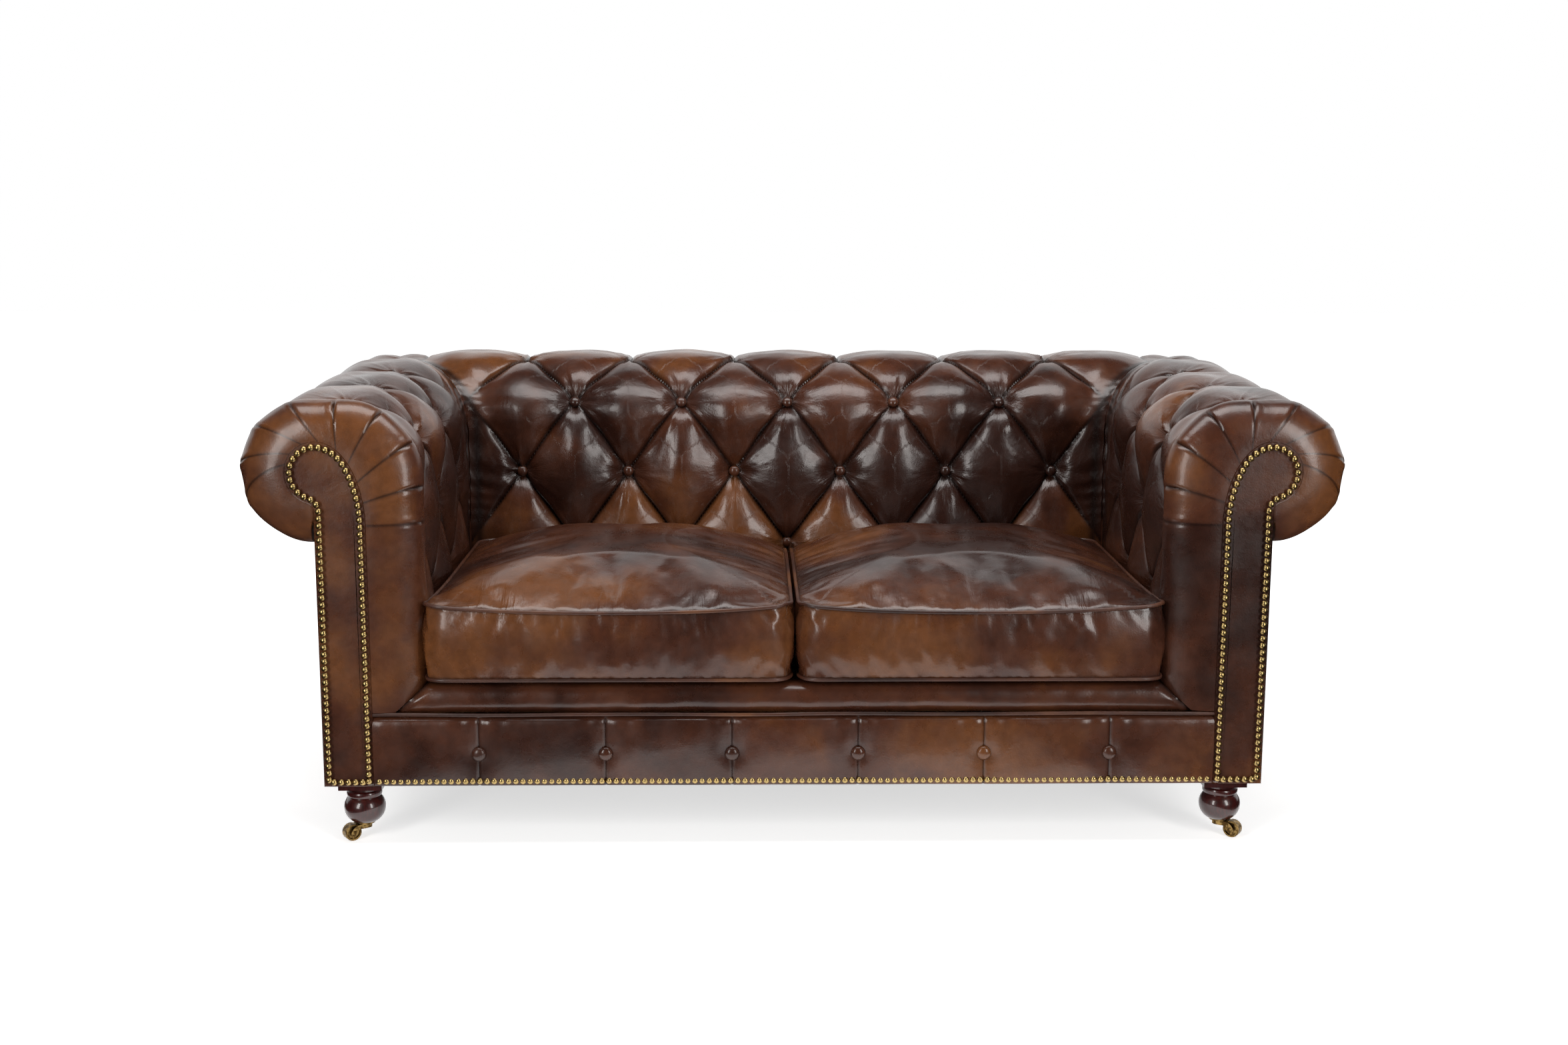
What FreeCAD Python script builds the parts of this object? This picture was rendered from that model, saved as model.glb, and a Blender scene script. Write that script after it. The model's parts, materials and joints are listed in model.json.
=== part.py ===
import FreeCAD
import Part

import math
import os

import Sketcher
from FreeCAD import Placement, Rotation, Vector

# A two-seat sofa with rolled arms and a deep-buttoned back, in millimetres.
# X runs along the sofa, Y from front to back and Z up from the floor.
# The origin is the middle of its footprint, at floor level.

SIZES = (
    ("overall_width", 1800, "across both arm rolls"),
    ("overall_depth", 980, "nail crowns in front to the back roll"),
    ("overall_height", 755, "floor to the crest of the back"),
    ("crest_rise", 17, "crest of the back above the arms' front"),
    ("arm_width", 295, "inner face of an arm to the outside of its roll"),
    ("back_depth", 340, "inner face of the back to the outside of its roll"),
    ("inner_roll_radius", 130, "roll on the sitter's side"),
    ("outer_roll_radius", 115, "roll on the outside"),
    ("roll_overhang", 126, "how far a roll stands out past the outside panel"),
    ("panel_thickness", 6, "outside leather with its backing"),
    ("scroll_width", 81, "straight part of the scroll facing"),
    ("scroll_head_radius", 50.5, "round head of the scroll"),
    ("scroll_head_inset", 6, "head centre from the body's side"),
    ("scroll_head_drop", 113, "top of the arm down to the head centre"),
    ("scroll_shoulder_drop", 85, "head centre down to where the straight edge starts"),
    ("scroll_neck_radius", 14, "hollow under the head"),
    ("scroll_cover_thickness", 8, "padded leather facing"),
    ("scroll_board_thickness", 22, "timber behind the facing"),
    ("front_bulge_radius", 55, "how the arm's padding rounds over in front"),
    ("front_bulge_setback", 4, "padding edge behind the facing's face"),
    ("front_bulge_rim", 6, "padding seen round the facing"),
    ("lining_thickness", 3, "webbing and hessian behind the padding"),
    ("rail_bottom_height", 104, "floor to the underside of the body"),
    ("rail_cover_height", 117, "leather on the front rail"),
    ("rail_cover_thickness", 14, "leather and wadding on the front rail"),
    ("rail_height", 104, "seat rails"),
    ("rail_thickness", 28, "seat rails"),
    ("brace_width", 40, "centre brace"),
    ("brace_height", 50, "centre brace"),
    ("corner_block_leg", 70, "short sides of a corner block"),
    ("corner_block_height", 60, "corner block"),
    ("post_width", 60, "back uprights"),
    ("border_height", 51, "padded lip under the cushions"),
    ("border_depth", 78, "padded lip under the cushions"),
    ("border_setback", 9, "lip behind the rail cover's face"),
    ("border_nose_radius", 24, "rounded front of the lip"),
    ("border_mitre_run", 58, "width of the slanted seam at each end"),
    ("dust_cover_thickness", 1, "cloth under the frame"),
    ("dust_cover_inset", 2, "edge of that cloth from the frame's sides"),
    ("spring_wire_radius", 1.9, "serpentine spring wire"),
    ("spring_half_width", 22, "serpentine spring"),
    ("spring_wave", 26, "one turn of a serpentine spring"),
    ("spring_spacing", 200, "between springs"),
    ("clip_thickness", 3, "spring clip"),
    ("clip_width", 54, "spring clip"),
    ("clip_length", 22, "spring clip"),
    ("cushion_side_gap", 8, "boxing of a seat cushion from the arm"),
    ("cushion_middle_gap", 14, "between the boxings of the two cushions"),
    ("cushion_back_gap", 14, "boxing of a seat cushion from the back"),
    ("cushion_boxing", 121, "between the two piped edges"),
    ("cushion_crown", 72, "rise of the top above its piped edge"),
    ("cushion_shoulder", 80, "from the piped edge in to where the crown flattens"),
    ("cushion_shoulder_share", 0.64, "share of the crown's rise reached there"),
    ("cushion_end_fullness", 0.06, "share of the crown's wave cut off at front and back"),
    ("cushion_fullness_power", 0.6, "makes the crown flatter in the middle than a wave"),
    ("cushion_belly", 9, "drop of the underside below its piped edge"),
    ("cushion_side_swell", 4, "how far the boxing draws in between its piping"),
    ("cushion_corner_radius", 34, "rounded corner in plan"),
    ("cushion_setback", 20, "cushion front behind the front plane"),
    ("cushion_cover_thickness", 4, "leather with its lining"),
    ("piping_radius", 3, "leather piping"),
    ("button_pitch", 208, "between buttons in a row"),
    ("row_pitch", 140, "between rows, along the leather"),
    ("lowest_row_drop", 348, "top of the arm down to the lowest row of buttons"),
    ("first_arm_button", 98, "front plane to the first top button"),
    ("pleat_depth", 22, "how deep the diamond pleats go"),
    ("pleat_fade", 0.6, "share of that depth lost by the roll's underside"),
    ("button_sink", 14, "how much deeper a button is pulled"),
    ("button_radius", 10, "leather-covered tufting button"),
    ("button_height", 6, "leather-covered tufting button"),
    ("rail_button_radius", 11.5, "button on the front rail"),
    ("rail_button_height", 5, "button on the front rail"),
    ("rail_button_level", 158, "floor to the rail buttons"),
    ("nail_radius", 5.4, "domed nail head"),
    ("nail_crown", 3.5, "height of a nail head"),
    ("nail_pitch", 11.8, "between nails"),
    ("nail_inset", 8, "nail centre from the leather's edge"),
    ("foot_inset_side", 54, "foot axis from the body's side"),
    ("foot_inset_front", 57, "foot axis from the front plane"),
    ("foot_block_side", 72, "square block over a front foot"),
    ("foot_block_height", 12, "square block over a front foot"),
    ("foot_neck_radius", 25, "turned foot under its block"),
    ("foot_neck_height", 7, "turned foot under its block"),
    ("foot_ring_radius", 28.5, "ring at the top of the bun"),
    ("foot_ring_height", 12, "ring at the top of the bun"),
    ("foot_groove_depth", 2, "between ring and bun"),
    ("foot_bun_radius", 34, "widest part of the bun"),
    ("foot_base_radius", 18, "bottom of the bun"),
    ("foot_lower_curve", 27, "outline of the bun below its widest part"),
    ("foot_upper_curve", 24, "outline of the bun above its widest part"),
    ("foot_ring_curve", 9.6, "outline of the ring"),
    ("castor_plate_radius", 16, "brass plate under a foot"),
    ("castor_plate_thickness", 2.7, "brass plate under a foot"),
    ("castor_height", 29, "floor to the underside of a foot"),
    ("wheel_radius", 14, "castor wheel"),
    ("wheel_width", 15, "castor wheel"),
    ("wheel_web_recess", 3, "hollow in each face of the wheel"),
    ("wheel_rim_thickness", 2.5, "brass tread round the wheel"),
    ("castor_trail", 25, "wheel axis from the swivel axis"),
    ("castor_yaw", 35, "how the castors stand in the photograph, degrees"),
    ("axle_radius", 2.5, "castor axle"),
    ("axle_head_radius", 3.6, "riveted end of the axle"),
    ("axle_head_height", 1.2, "riveted end of the axle"),
    ("stem_radius", 4, "castor stem"),
    ("stem_length", 28, "castor stem above its horn"),
    ("horn_cheek_thickness", 2.5, "each arm of the castor horn"),
    ("horn_band", 7.5, "height of the horn's arm"),
    ("horn_boss_radius", 5.5, "round end of the horn at the axle"),
    ("horn_collar_radius", 9.5, "horn round the swivel axis"),
    ("wheel_side_gap", 0.7, "between the wheel and each arm"),
    ("running_clearance", 0.05, "radial, of a shaft in its bore"),
    ("leg_top_side", 58, "rear leg at the rail"),
    ("leg_foot_side", 36, "rear leg at the glide"),
    ("leg_inset", 8, "rear leg from the body's corner"),
    ("glide_radius", 12, "nylon glide"),
    ("glide_height", 6, "nylon glide"),
    ("seat_gap", 0.3, "between padding and what it lies on"),
)

DERIVED = (
    ("front_y", "-sizes.overall_depth / 2"),
    ("arm_height", "sizes.overall_height - sizes.crest_rise"),
    ("seat_width", "sizes.overall_width - 2 * sizes.arm_width"),
    ("seat_depth", "sizes.overall_depth - sizes.back_depth"),
    ("back_face_y", "front_y + seat_depth"),
    ("roll_underside", "arm_height - 2 * sizes.outer_roll_radius"),
    ("scroll_head_height", "arm_height - sizes.scroll_head_drop"),
    ("scroll_shoulder_height", "scroll_head_height - sizes.scroll_shoulder_drop"),
    ("lowest_row_height", "arm_height - sizes.lowest_row_drop"),
    ("body_side", "sizes.overall_width / 2 - sizes.roll_overhang"),
    ("scroll_inner", "body_side - sizes.scroll_width"),
    ("head_x", "body_side - sizes.scroll_head_inset"),
    ("facing_y", "front_y + sizes.nail_crown"),
    ("board_y", "facing_y + sizes.scroll_cover_thickness"),
    ("board_back_y", "board_y + sizes.scroll_board_thickness"),
    ("back_scale", "sizes.back_depth / sizes.arm_width"),
    ("back_board_y", "back_face_y + (scroll_inner - seat_width / 2) * back_scale"),
    ("back_panel_y", "back_face_y + (body_side - seat_width / 2) * back_scale"),
    ("rail_cover_top", "sizes.rail_bottom_height + sizes.rail_cover_height"),
    ("rail_cover_y", "facing_y + sizes.nail_crown"),
    ("rail_y", "rail_cover_y + sizes.rail_cover_thickness"),
    ("rail_back_y", "rail_y + sizes.rail_thickness"),
    ("rail_top", "sizes.rail_bottom_height + sizes.rail_height"),
    ("rail_half", "scroll_inner - sizes.seat_gap"),
    ("border_bottom", "rail_cover_top + sizes.seat_gap"),
    ("border_top", "border_bottom + sizes.border_height"),
    ("border_y", "rail_cover_y + sizes.border_setback"),
    ("border_back_y", "border_y + sizes.border_depth"),
    ("frame_side", "body_side - sizes.panel_thickness"),
    ("frame_back_y", "back_panel_y - sizes.panel_thickness"),
    ("corner_post_y", "back_board_y + sizes.lining_thickness"),
    ("spring_level", "rail_top + sizes.clip_thickness + sizes.spring_wire_radius"),
    ("deck_bottom", "spring_level + sizes.spring_wire_radius"),
    ("foot_x", "body_side - sizes.foot_inset_side"),
    ("foot_y", "front_y + sizes.foot_inset_front"),
    ("foot_top", "sizes.rail_bottom_height - sizes.foot_block_height"),
    ("cushion_bottom", "border_top + sizes.seat_gap"),
    ("cushion_low_pipe", "cushion_bottom + sizes.cushion_belly"),
    ("cushion_high_pipe", "cushion_low_pipe + sizes.cushion_boxing"),
    ("cushion_y", "front_y + sizes.cushion_setback"),
    ("cushion_gaps", "2 * sizes.cushion_side_gap + sizes.cushion_middle_gap"),
    ("cushion_width", "(seat_width - cushion_gaps) / 2"),
    ("cushion_depth", "seat_depth - sizes.cushion_setback - sizes.cushion_back_gap"),
    ("cushion_spacing", "cushion_width + sizes.cushion_middle_gap"),
    ("horn_top", "sizes.castor_height - sizes.castor_plate_thickness - sizes.seat_gap"),
    ("horn_half", "sizes.wheel_width / 2 + sizes.wheel_side_gap + sizes.horn_cheek_thickness"),
    ("leg_x", "body_side - sizes.leg_inset - sizes.leg_top_side / 2"),
    ("leg_y", "back_panel_y - sizes.leg_inset - sizes.leg_top_side / 2"),
)

SIDES = (("left", -1), ("right", 1))

# Rows of buttons in the padding, counted from the top of the roll
ROWS = 4

# Cross-sections of the padding: steps over the roll, and points along the scroll's outline
ROLL_STEPS = 5
SCROLL_POINTS = 200

doc = FreeCAD.newDocument("sofa")


def fill_sheet(name, rows):
    """A sheet with one row for each value: its meaning in column A, the aliased value in B."""
    page = doc.addObject("Spreadsheet::Sheet", name)
    for number, (alias, content, meaning) in enumerate(rows, start=1):
        page.set(f"A{number}", meaning)
        page.set(f"B{number}", content)
        page.setAlias(f"B{number}", alias)
    doc.recompute()
    return page


sheet = fill_sheet("sizes", [(alias, str(value), meaning) for alias, value, meaning in SIZES])
places = fill_sheet("places", [(alias, "=" + formula, formula) for alias, formula in DERIVED])

# One cell of this sheet works out the formula of a sketch corner
probe = doc.addObject("Spreadsheet::Sheet", "probe")


def size(alias):
    """A driving size or a worked-out place, by its alias."""
    page = sheet if alias in (row[0] for row in SIZES) else places
    return float(page.get(alias))


nodes = []


def node(item, label):
    """Marks a document object as one finished piece of the sofa."""
    item.Label = label
    nodes.append(item)
    return item


def bind(item, **formulas):
    """Binds properties of an object to sheet cells; a double underscore stands for a dot."""
    for key, formula in formulas.items():
        item.setExpression(key.replace("__", "."), formula)
    return item


def place(item, x="0", y="0", z="0"):
    return bind(item, Placement__Base__x=x, Placement__Base__y=y, Placement__Base__z=z)


def box(name, length, width, height, x, y, z):
    item = doc.addObject("Part::Box", name)
    bind(item, Length=length, Width=width, Height=height)
    return place(item, x, y, z)


def cylinder(name, radius, height, x="0", y="0", z="0"):
    item = doc.addObject("Part::Cylinder", name)
    bind(item, Radius=radius, Height=height)
    return place(item, x, y, z)


def cut(name, base, tool):
    item = doc.addObject("Part::Cut", name)
    item.Base = base
    item.Tool = tool
    return item


def shaped(name, shape):
    """A piece whose form needs curves worked out from the sheet."""
    item = doc.addObject("Part::Feature", name)
    item.Shape = shape
    return node(item, name)


def side_span(sign, near, far):
    """The lowest X of a box that lies between near and far on one side of the sofa."""
    return near if sign > 0 else f"-({far})"


# Closed outlines in the X-Z plane, from lines and arcs


def plane_point(across, up):
    return Vector(across, 0, up)


def line(start, end):
    return Part.LineSegment(start, end).toShape()


def arc(start, middle, end):
    return Part.Arc(start, middle, end).toShape()


def bow(start, middle, end):
    """An arc, or a line where the three points are all but straight."""
    if middle.distanceToLine(start, end - start) < 0.01:
        return line(start, end)
    return arc(start, middle, end)


def polar(centre, radius, degrees):
    turn = math.radians(degrees)
    return centre + Vector(radius * math.cos(turn), 0, radius * math.sin(turn))


def as_drawn(point):
    return point


class Scroll:
    """The scroll at the front of the right arm, grown by a gap all round."""

    def __init__(self, gap=0.0):
        self.inner = size("scroll_inner") - gap
        self.outer = size("body_side") + gap
        self.centre = plane_point(size("head_x"), size("scroll_head_height"))
        self.radius = size("scroll_head_radius") + gap
        self.hollow = size("scroll_neck_radius") - gap
        self.shoulder = size("scroll_shoulder_height")
        across = self.outer + self.hollow - self.centre.x
        reach = self.radius + self.hollow
        self.neck_turn = -math.degrees(math.acos(across / reach))
        self.neck_centre = polar(self.centre, reach, self.neck_turn)

    def shoulder_point(self, degrees):
        """A point of the quarter ellipse between the head's top and the straight inner edge."""
        turn = math.radians(degrees)
        reach = self.centre.x - self.inner
        rise = self.centre.z + self.radius - self.shoulder
        return plane_point(
            self.centre.x - reach * math.cos(turn), self.shoulder + rise * math.sin(turn)
        )

    def over(self, carry=as_drawn):
        """The edges from the outer neck over the head to the inner shoulder, carried elsewhere."""
        neck_middle = 180 + self.neck_turn / 2
        stops = [
            plane_point(self.outer, self.neck_centre.z),
            polar(self.neck_centre, self.hollow, neck_middle),
            polar(self.centre, self.radius, self.neck_turn),
            polar(self.centre, self.radius, self.neck_turn / 2),
            polar(self.centre, self.radius, 0),
            polar(self.centre, self.radius, 45),
            self.shoulder_point(90),
            self.shoulder_point(67.5),
            self.shoulder_point(45),
            self.shoulder_point(22.5),
            self.shoulder_point(0),
        ]
        stops = [carry(point) for point in stops]
        return [arc(*stops[i : i + 3]) for i in range(0, len(stops) - 2, 2)]

    def closed(self, bottom, carry=as_drawn):
        """The whole scroll as a face, down to a level."""
        top_edges = self.over(carry)
        corners = [
            carry(self.shoulder_point(0)),
            carry(plane_point(self.inner, bottom)),
            carry(plane_point(self.outer, bottom)),
            carry(plane_point(self.outer, self.neck_centre.z)),
        ]
        edges = top_edges + [
            line(start, end)
            for start, end in zip(corners, corners[1:])
            if start.distanceToPoint(end) > 0
        ]
        return Part.Face(Part.Wire(edges))


# The padding's outer contour, in one cross-section of an arm or of the back


def row_run(number):
    """The run along the leather from the padding's bottom edge to a row; row 0 is the highest."""
    lowest = size("lowest_row_height") - size("border_bottom")
    return lowest + (ROWS - 1 - number) * size("row_pitch")


def contour_length():
    wall = size("arm_height") - size("inner_roll_radius") - size("border_bottom")
    flat = size("arm_width") - size("inner_roll_radius") - size("outer_roll_radius")
    turns = size("inner_roll_radius") * math.pi / 2 + size("outer_roll_radius") * math.pi
    return wall + flat + turns


def contour(run):
    """Distance outwards from the inner face, height and outward normal at a run of leather."""
    inner = size("inner_roll_radius")
    outer = size("outer_roll_radius")
    top = size("arm_height")
    wall = top - inner - size("border_bottom")
    flat = size("arm_width") - inner - outer
    if run <= wall:
        return 0.0, size("border_bottom") + run, -1.0, 0.0
    turn = (run - wall) / inner
    if turn <= math.pi / 2:
        across = inner * (1 - math.cos(turn))
        return across, top - inner + inner * math.sin(turn), -math.cos(turn), math.sin(turn)
    along = run - wall - inner * math.pi / 2
    if along <= flat:
        return inner + along, top, 0.0, 1.0
    turn = (along - flat) / outer
    across = inner + flat + outer * math.sin(turn)
    return across, top - outer + outer * math.cos(turn), math.sin(turn), math.cos(turn)


def fullness(along, run):
    """1 on the crown of a diamond and 0 in a pleat; along is counted from a top-row button."""
    up = (row_run(0) - run) / (2 * size("row_pitch"))
    up = max(0.0, min((ROWS - 1) / 2, up))
    across = along / size("button_pitch")
    ridge = math.sin(math.pi * (across + up)) * math.sin(math.pi * (across - up))
    return math.sqrt(abs(ridge))


def sink(along, run):
    """How far the leather lies below the padding's envelope."""
    pitch = size("button_pitch")
    depth = size("pleat_depth") * (1 - fullness(along, run))
    roll_share = (run - row_run(0)) / (contour_length() - row_run(0))
    depth *= 1 - size("pleat_fade") * max(0.0, roll_share)
    for number in range(ROWS):
        shift = pitch / 2 if number % 2 else 0.0
        near = (along - shift + pitch / 2) % pitch - pitch / 2
        away = math.hypot(near, run - row_run(number)) / (2 * size("button_radius"))
        depth += size("button_sink") * math.exp(-away * away)
    return depth


def station_runs():
    """Runs of leather where a cross-section changes arc: each half row, then over the roll."""
    half = size("row_pitch") / 2
    runs = [0.0]
    runs += [row_run(ROWS - 1) + step * half for step in range(-1, 2 * ROWS - 1)]
    rest = contour_length() - runs[-1]
    return runs + [runs[-1] + rest * step / ROLL_STEPS for step in range(1, ROLL_STEPS + 1)]


def middle_runs(runs):
    """Every station with the run halfway to the next one, so that arcs can pass through both."""
    full = []
    for here, following in zip(runs, runs[1:]):
        full += [here, (here + following) / 2]
    return full + [runs[-1]]


def raised(up, rise):
    """A height lifted in proportion between the roll's underside and its top."""
    low = size("roll_underside")
    return up + rise * max(0.0, (up - low) / (size("arm_height") - low))


def rise_at(depth_y):
    """How much higher the padding stands than at the arm's front, at a distance behind it."""
    return size("crest_rise") * min(1.0, depth_y / size("seat_depth"))


def leather_point(run, low, rise):
    """A point of the leather at a run, sunk below the envelope, in the right arm's section."""
    across, up, out_x, out_z = contour(run)
    return plane_point(
        size("seat_width") / 2 + across - low * out_x, raised(up, rise) - low * out_z
    )


def scroll_path():
    """Points evenly along the scroll's upper outline, from the inner shoulder to the neck."""
    scroll = Scroll(size("front_bulge_rim"))
    wire = Part.Wire(scroll.over())
    points = wire.discretize(Number=SCROLL_POINTS)
    return points[::-1] if points[0].x > points[-1].x else points


def closed_section(points, inner_edges, bottom_end):
    """A wire of arcs through the outer points, closed along the timber's side."""
    edges = [bow(*points[i : i + 3]) for i in range(0, len(points) - 2, 2)]
    edges.append(line(points[-1], inner_edges[0].Vertexes[0].Point))
    edges += inner_edges
    edges.append(line(bottom_end, points[0]))
    return Part.Wire(edges)


def timber_side(carry):
    """The inner edges of a padding section, a gap off the timber, with each point carried."""
    scroll = Scroll(size("seat_gap"))
    neck_low = plane_point(scroll.outer, scroll.neck_centre.z)
    foot_outer = plane_point(scroll.outer, size("roll_underside"))
    foot_inner = plane_point(scroll.inner, size("border_bottom"))
    edges = [line(carry(foot_outer), carry(neck_low))] + scroll.over(carry)
    edges.append(line(carry(scroll.shoulder_point(0)), carry(foot_inner)))
    return edges, carry(foot_inner)


def lofted(wires):
    shape = Part.makeLoft(wires, True, True)
    return shape if shape.Volume > 0 else shape.reversed()


def prism(points, along):
    """A solid from a closed polygon, drawn out along a vector."""
    return Part.Face(Part.makePolygon(points + points[:1])).extrude(along)


def mitre_side(sign, keep_arm):
    """The half of space on the arm's or the back's side of the slanted joint in one corner."""
    edge = size("seat_width") / 2
    face = size("back_face_y")
    slope = Vector(size("arm_width"), size("back_depth"), 0).normalize()
    across = Vector(slope.y, -slope.x, 0)
    far = size("overall_width")
    corner = Vector(edge, face, 0) + across * (0.5 * size("seat_gap") * (1 if keep_arm else -1))
    away = across * (far if keep_arm else -far)
    points = [
        corner - slope * far,
        corner + slope * far,
        corner + slope * far + away,
        corner - slope * far + away,
    ]
    points = [Vector(sign * point.x, point.y, -1) for point in points]
    return prism(points, Vector(0, 0, 2 * size("overall_height")))


# Padding


def arm_section(depth_y):
    """One cross-section of the right arm's padding, at a distance behind the front plane."""
    radius = size("front_bulge_radius")
    start = size("nail_crown") + size("front_bulge_setback")
    deep = min(1.0, (depth_y - start) / radius)
    growth = math.sqrt(max(0.0, 1 - (1 - deep) ** 2))
    rise = rise_at(depth_y)
    runs = middle_runs(station_runs())
    shoulder = size("scroll_shoulder_height") - size("border_bottom")
    path = scroll_path()
    points = []
    for run in runs:
        low = sink(depth_y - size("first_arm_button"), run) * growth
        full = leather_point(run, low, rise)
        if run <= shoulder:
            edge = plane_point(
                size("scroll_inner") - size("front_bulge_rim"), size("border_bottom") + run
            )
        else:
            share = (run - shoulder) / (runs[-1] - shoulder)
            edge = path[round(share * (len(path) - 1))]
        points.append(edge + (full - edge) * growth)
    move = Vector(0, size("front_y") + depth_y, 0)
    points = [point + move for point in points]
    inner_edges, bottom_end = timber_side(lambda point: point + move)
    return closed_section(points, inner_edges, bottom_end)


def arm_stations():
    """Distances behind the front plane: through the rounded front, then each quarter pitch."""
    start = size("nail_crown") + size("front_bulge_setback")
    radius = size("front_bulge_radius")
    stations = [start + radius * (1 - math.cos(math.radians(turn))) for turn in (0, 30, 60)]
    quarter = size("button_pitch") / 4
    following = size("first_arm_button") - quarter * int(size("first_arm_button") / quarter)
    while following < size("overall_depth") + quarter:
        if following > stations[-1] + quarter / 4:
            stations.append(following)
        following += quarter
    return stations


def border_end_wedge():
    """The corner that the lip takes from the right arm's padding, below the slanted seam."""
    edge = size("seat_width") / 2
    bottom = size("border_bottom")
    gap = size("seat_gap")
    corners = [
        (edge - size("border_mitre_run"), bottom - size("border_height")),
        (edge + size("border_mitre_run") + gap, bottom - size("border_height")),
        (edge + size("border_mitre_run") + gap, bottom),
        (edge + gap, size("border_top") + gap),
        (edge - size("border_mitre_run"), size("border_top") + gap),
    ]
    points = [Vector(across, size("front_y") - 1, up) for across, up in corners]
    depth = size("border_back_y") + gap - size("front_y") + 1
    return prism(points, Vector(0, depth, 0))


def piping_groove():
    """The room that the front rail's piping takes from the right arm's padding."""
    corner = Vector(size("seat_width") / 2, size("front_y"), size("rail_cover_top"))
    pipe = 2 * size("piping_radius") + size("seat_gap")
    depth = size("rail_cover_y") + pipe - size("front_y")
    return Part.makeBox(size("arm_width"), depth, pipe, corner)


def mirrored(shape):
    return shape.mirror(Vector(0, 0, 0), Vector(1, 0, 0))


def arm_padding():
    solid = lofted([arm_section(depth) for depth in arm_stations()])
    solid = solid.common(mitre_side(1, True))
    return solid.cut(border_end_wedge()).cut(piping_groove())


def back_point(point, along):
    """A point of the arm's cross-section, carried over to the back at a place along X."""
    depth = (point.x - size("seat_width") / 2) * size("back_scale")
    return Vector(along, size("back_face_y") + depth, point.z)


def back_section(along):
    points = []
    for run in middle_runs(station_runs()):
        low = sink(along - size("button_pitch") / 2, run)
        points.append(back_point(leather_point(run, low, size("crest_rise")), along))
    inner_edges, bottom_end = timber_side(lambda point: back_point(point, along))
    return closed_section(points, inner_edges, bottom_end)


def back_padding():
    quarter = size("button_pitch") / 4
    count = math.ceil(size("overall_width") / 2 / quarter)
    solid = lofted([back_section(step * quarter) for step in range(-count, count + 1)])
    for _, sign in SIDES:
        solid = solid.common(mitre_side(sign, False))
    return solid


def dome(radius, height, base, outwards):
    """A shallow covered button or nail head standing on a point, facing along a direction."""
    ball = (radius * radius + height * height) / (2 * height)
    rim = Vector(radius, 0, 0)
    crown = Vector(0, 0, height)
    half = math.asin(radius / ball) / 2
    between = Vector(ball * math.sin(half), 0, ball * math.cos(half) - ball + height)
    edges = [line(Vector(0, 0, 0), rim), arc(rim, between, crown), line(crown, Vector(0, 0, 0))]
    solid = Part.Face(Part.Wire(edges)).revolve(Vector(0, 0, 0), Vector(0, 0, 1), 360)
    solid.Placement = Placement(base, Rotation(Vector(0, 0, 1), outwards))
    return solid


def button_columns(low, high, start):
    """Places of the buttons in a row between two limits, one pitch apart."""
    pitch = size("button_pitch")
    first = math.ceil((low - start) / pitch)
    last = math.floor((high - start) / pitch)
    return [start + pitch * step for step in range(first, last + 1)]


def padding_button(carry, run, number, rise):
    """A button of one row, pulled to the bottom of the padding's dimple."""
    shift = size("button_pitch") / 2 if number % 2 else 0.0
    low = sink(shift, run)
    base = carry(leather_point(run, low, rise))
    tip = carry(leather_point(run, low - 1, rise))
    return dome(size("button_radius"), size("button_height"), base, tip - base)


def mitre_margin(across, depth_y):
    """How far in front of the slanted corner joint a place on the right arm lies, along Y."""
    joint = size("seat_depth") + (across - size("seat_width") / 2) * size("back_scale")
    return joint - depth_y


def arm_button_shapes():
    domes = []
    for number in range(ROWS):
        run = row_run(number)
        shift = size("button_pitch") / 2 if number % 2 else 0.0
        for depth_y in button_columns(
            size("front_bulge_radius"), size("overall_depth"), size("first_arm_button") + shift
        ):
            across = size("seat_width") / 2 + contour(run)[0]
            if mitre_margin(across, depth_y) < 2 * size("button_radius") + size("pleat_depth"):
                continue
            move = Vector(0, size("front_y") + depth_y, 0)
            rise = rise_at(depth_y)
            domes.append(padding_button(lambda point, by=move: point + by, run, number, rise))
    return domes


def back_button_shapes():
    domes = []
    for number in range(ROWS):
        run = row_run(number)
        start = 0.0 if number % 2 else size("button_pitch") / 2
        reach = size("seat_width") / 2 + contour(run)[0]
        reach -= 2 * size("button_radius") + size("pleat_depth")
        for along in button_columns(-reach, reach, start):
            domes.append(
                padding_button(
                    lambda point, at=along: back_point(point, at), run, number,
                    size("crest_rise"),
                )
            )
    return domes


def make_padding():
    arm = arm_padding()
    shaped("arm_padding_right", arm)
    shaped("arm_padding_left", mirrored(arm))
    shaped("back_padding", back_padding())
    buttons = Part.makeCompound(arm_button_shapes())
    shaped("arm_buttons_right", buttons)
    shaped("arm_buttons_left", mirrored(buttons))
    shaped("back_buttons", Part.makeCompound(back_button_shapes()))


# Scroll fronts and timber in the arms and the back


def scroll_slice(start_y, thickness, bottom):
    face = Scroll().closed(bottom)
    face.translate(Vector(0, start_y, 0))
    return face.extrude(Vector(0, thickness, 0))


def make_scroll_fronts():
    bottom = size("rail_bottom_height")
    facing = scroll_slice(size("facing_y"), size("scroll_cover_thickness"), bottom)
    board = scroll_slice(size("board_y"), size("scroll_board_thickness"), bottom)
    for side, sign in SIDES:
        shaped(f"scroll_facing_{side}", facing if sign > 0 else mirrored(facing))
        shaped(f"scroll_board_{side}", board if sign > 0 else mirrored(board))


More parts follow.
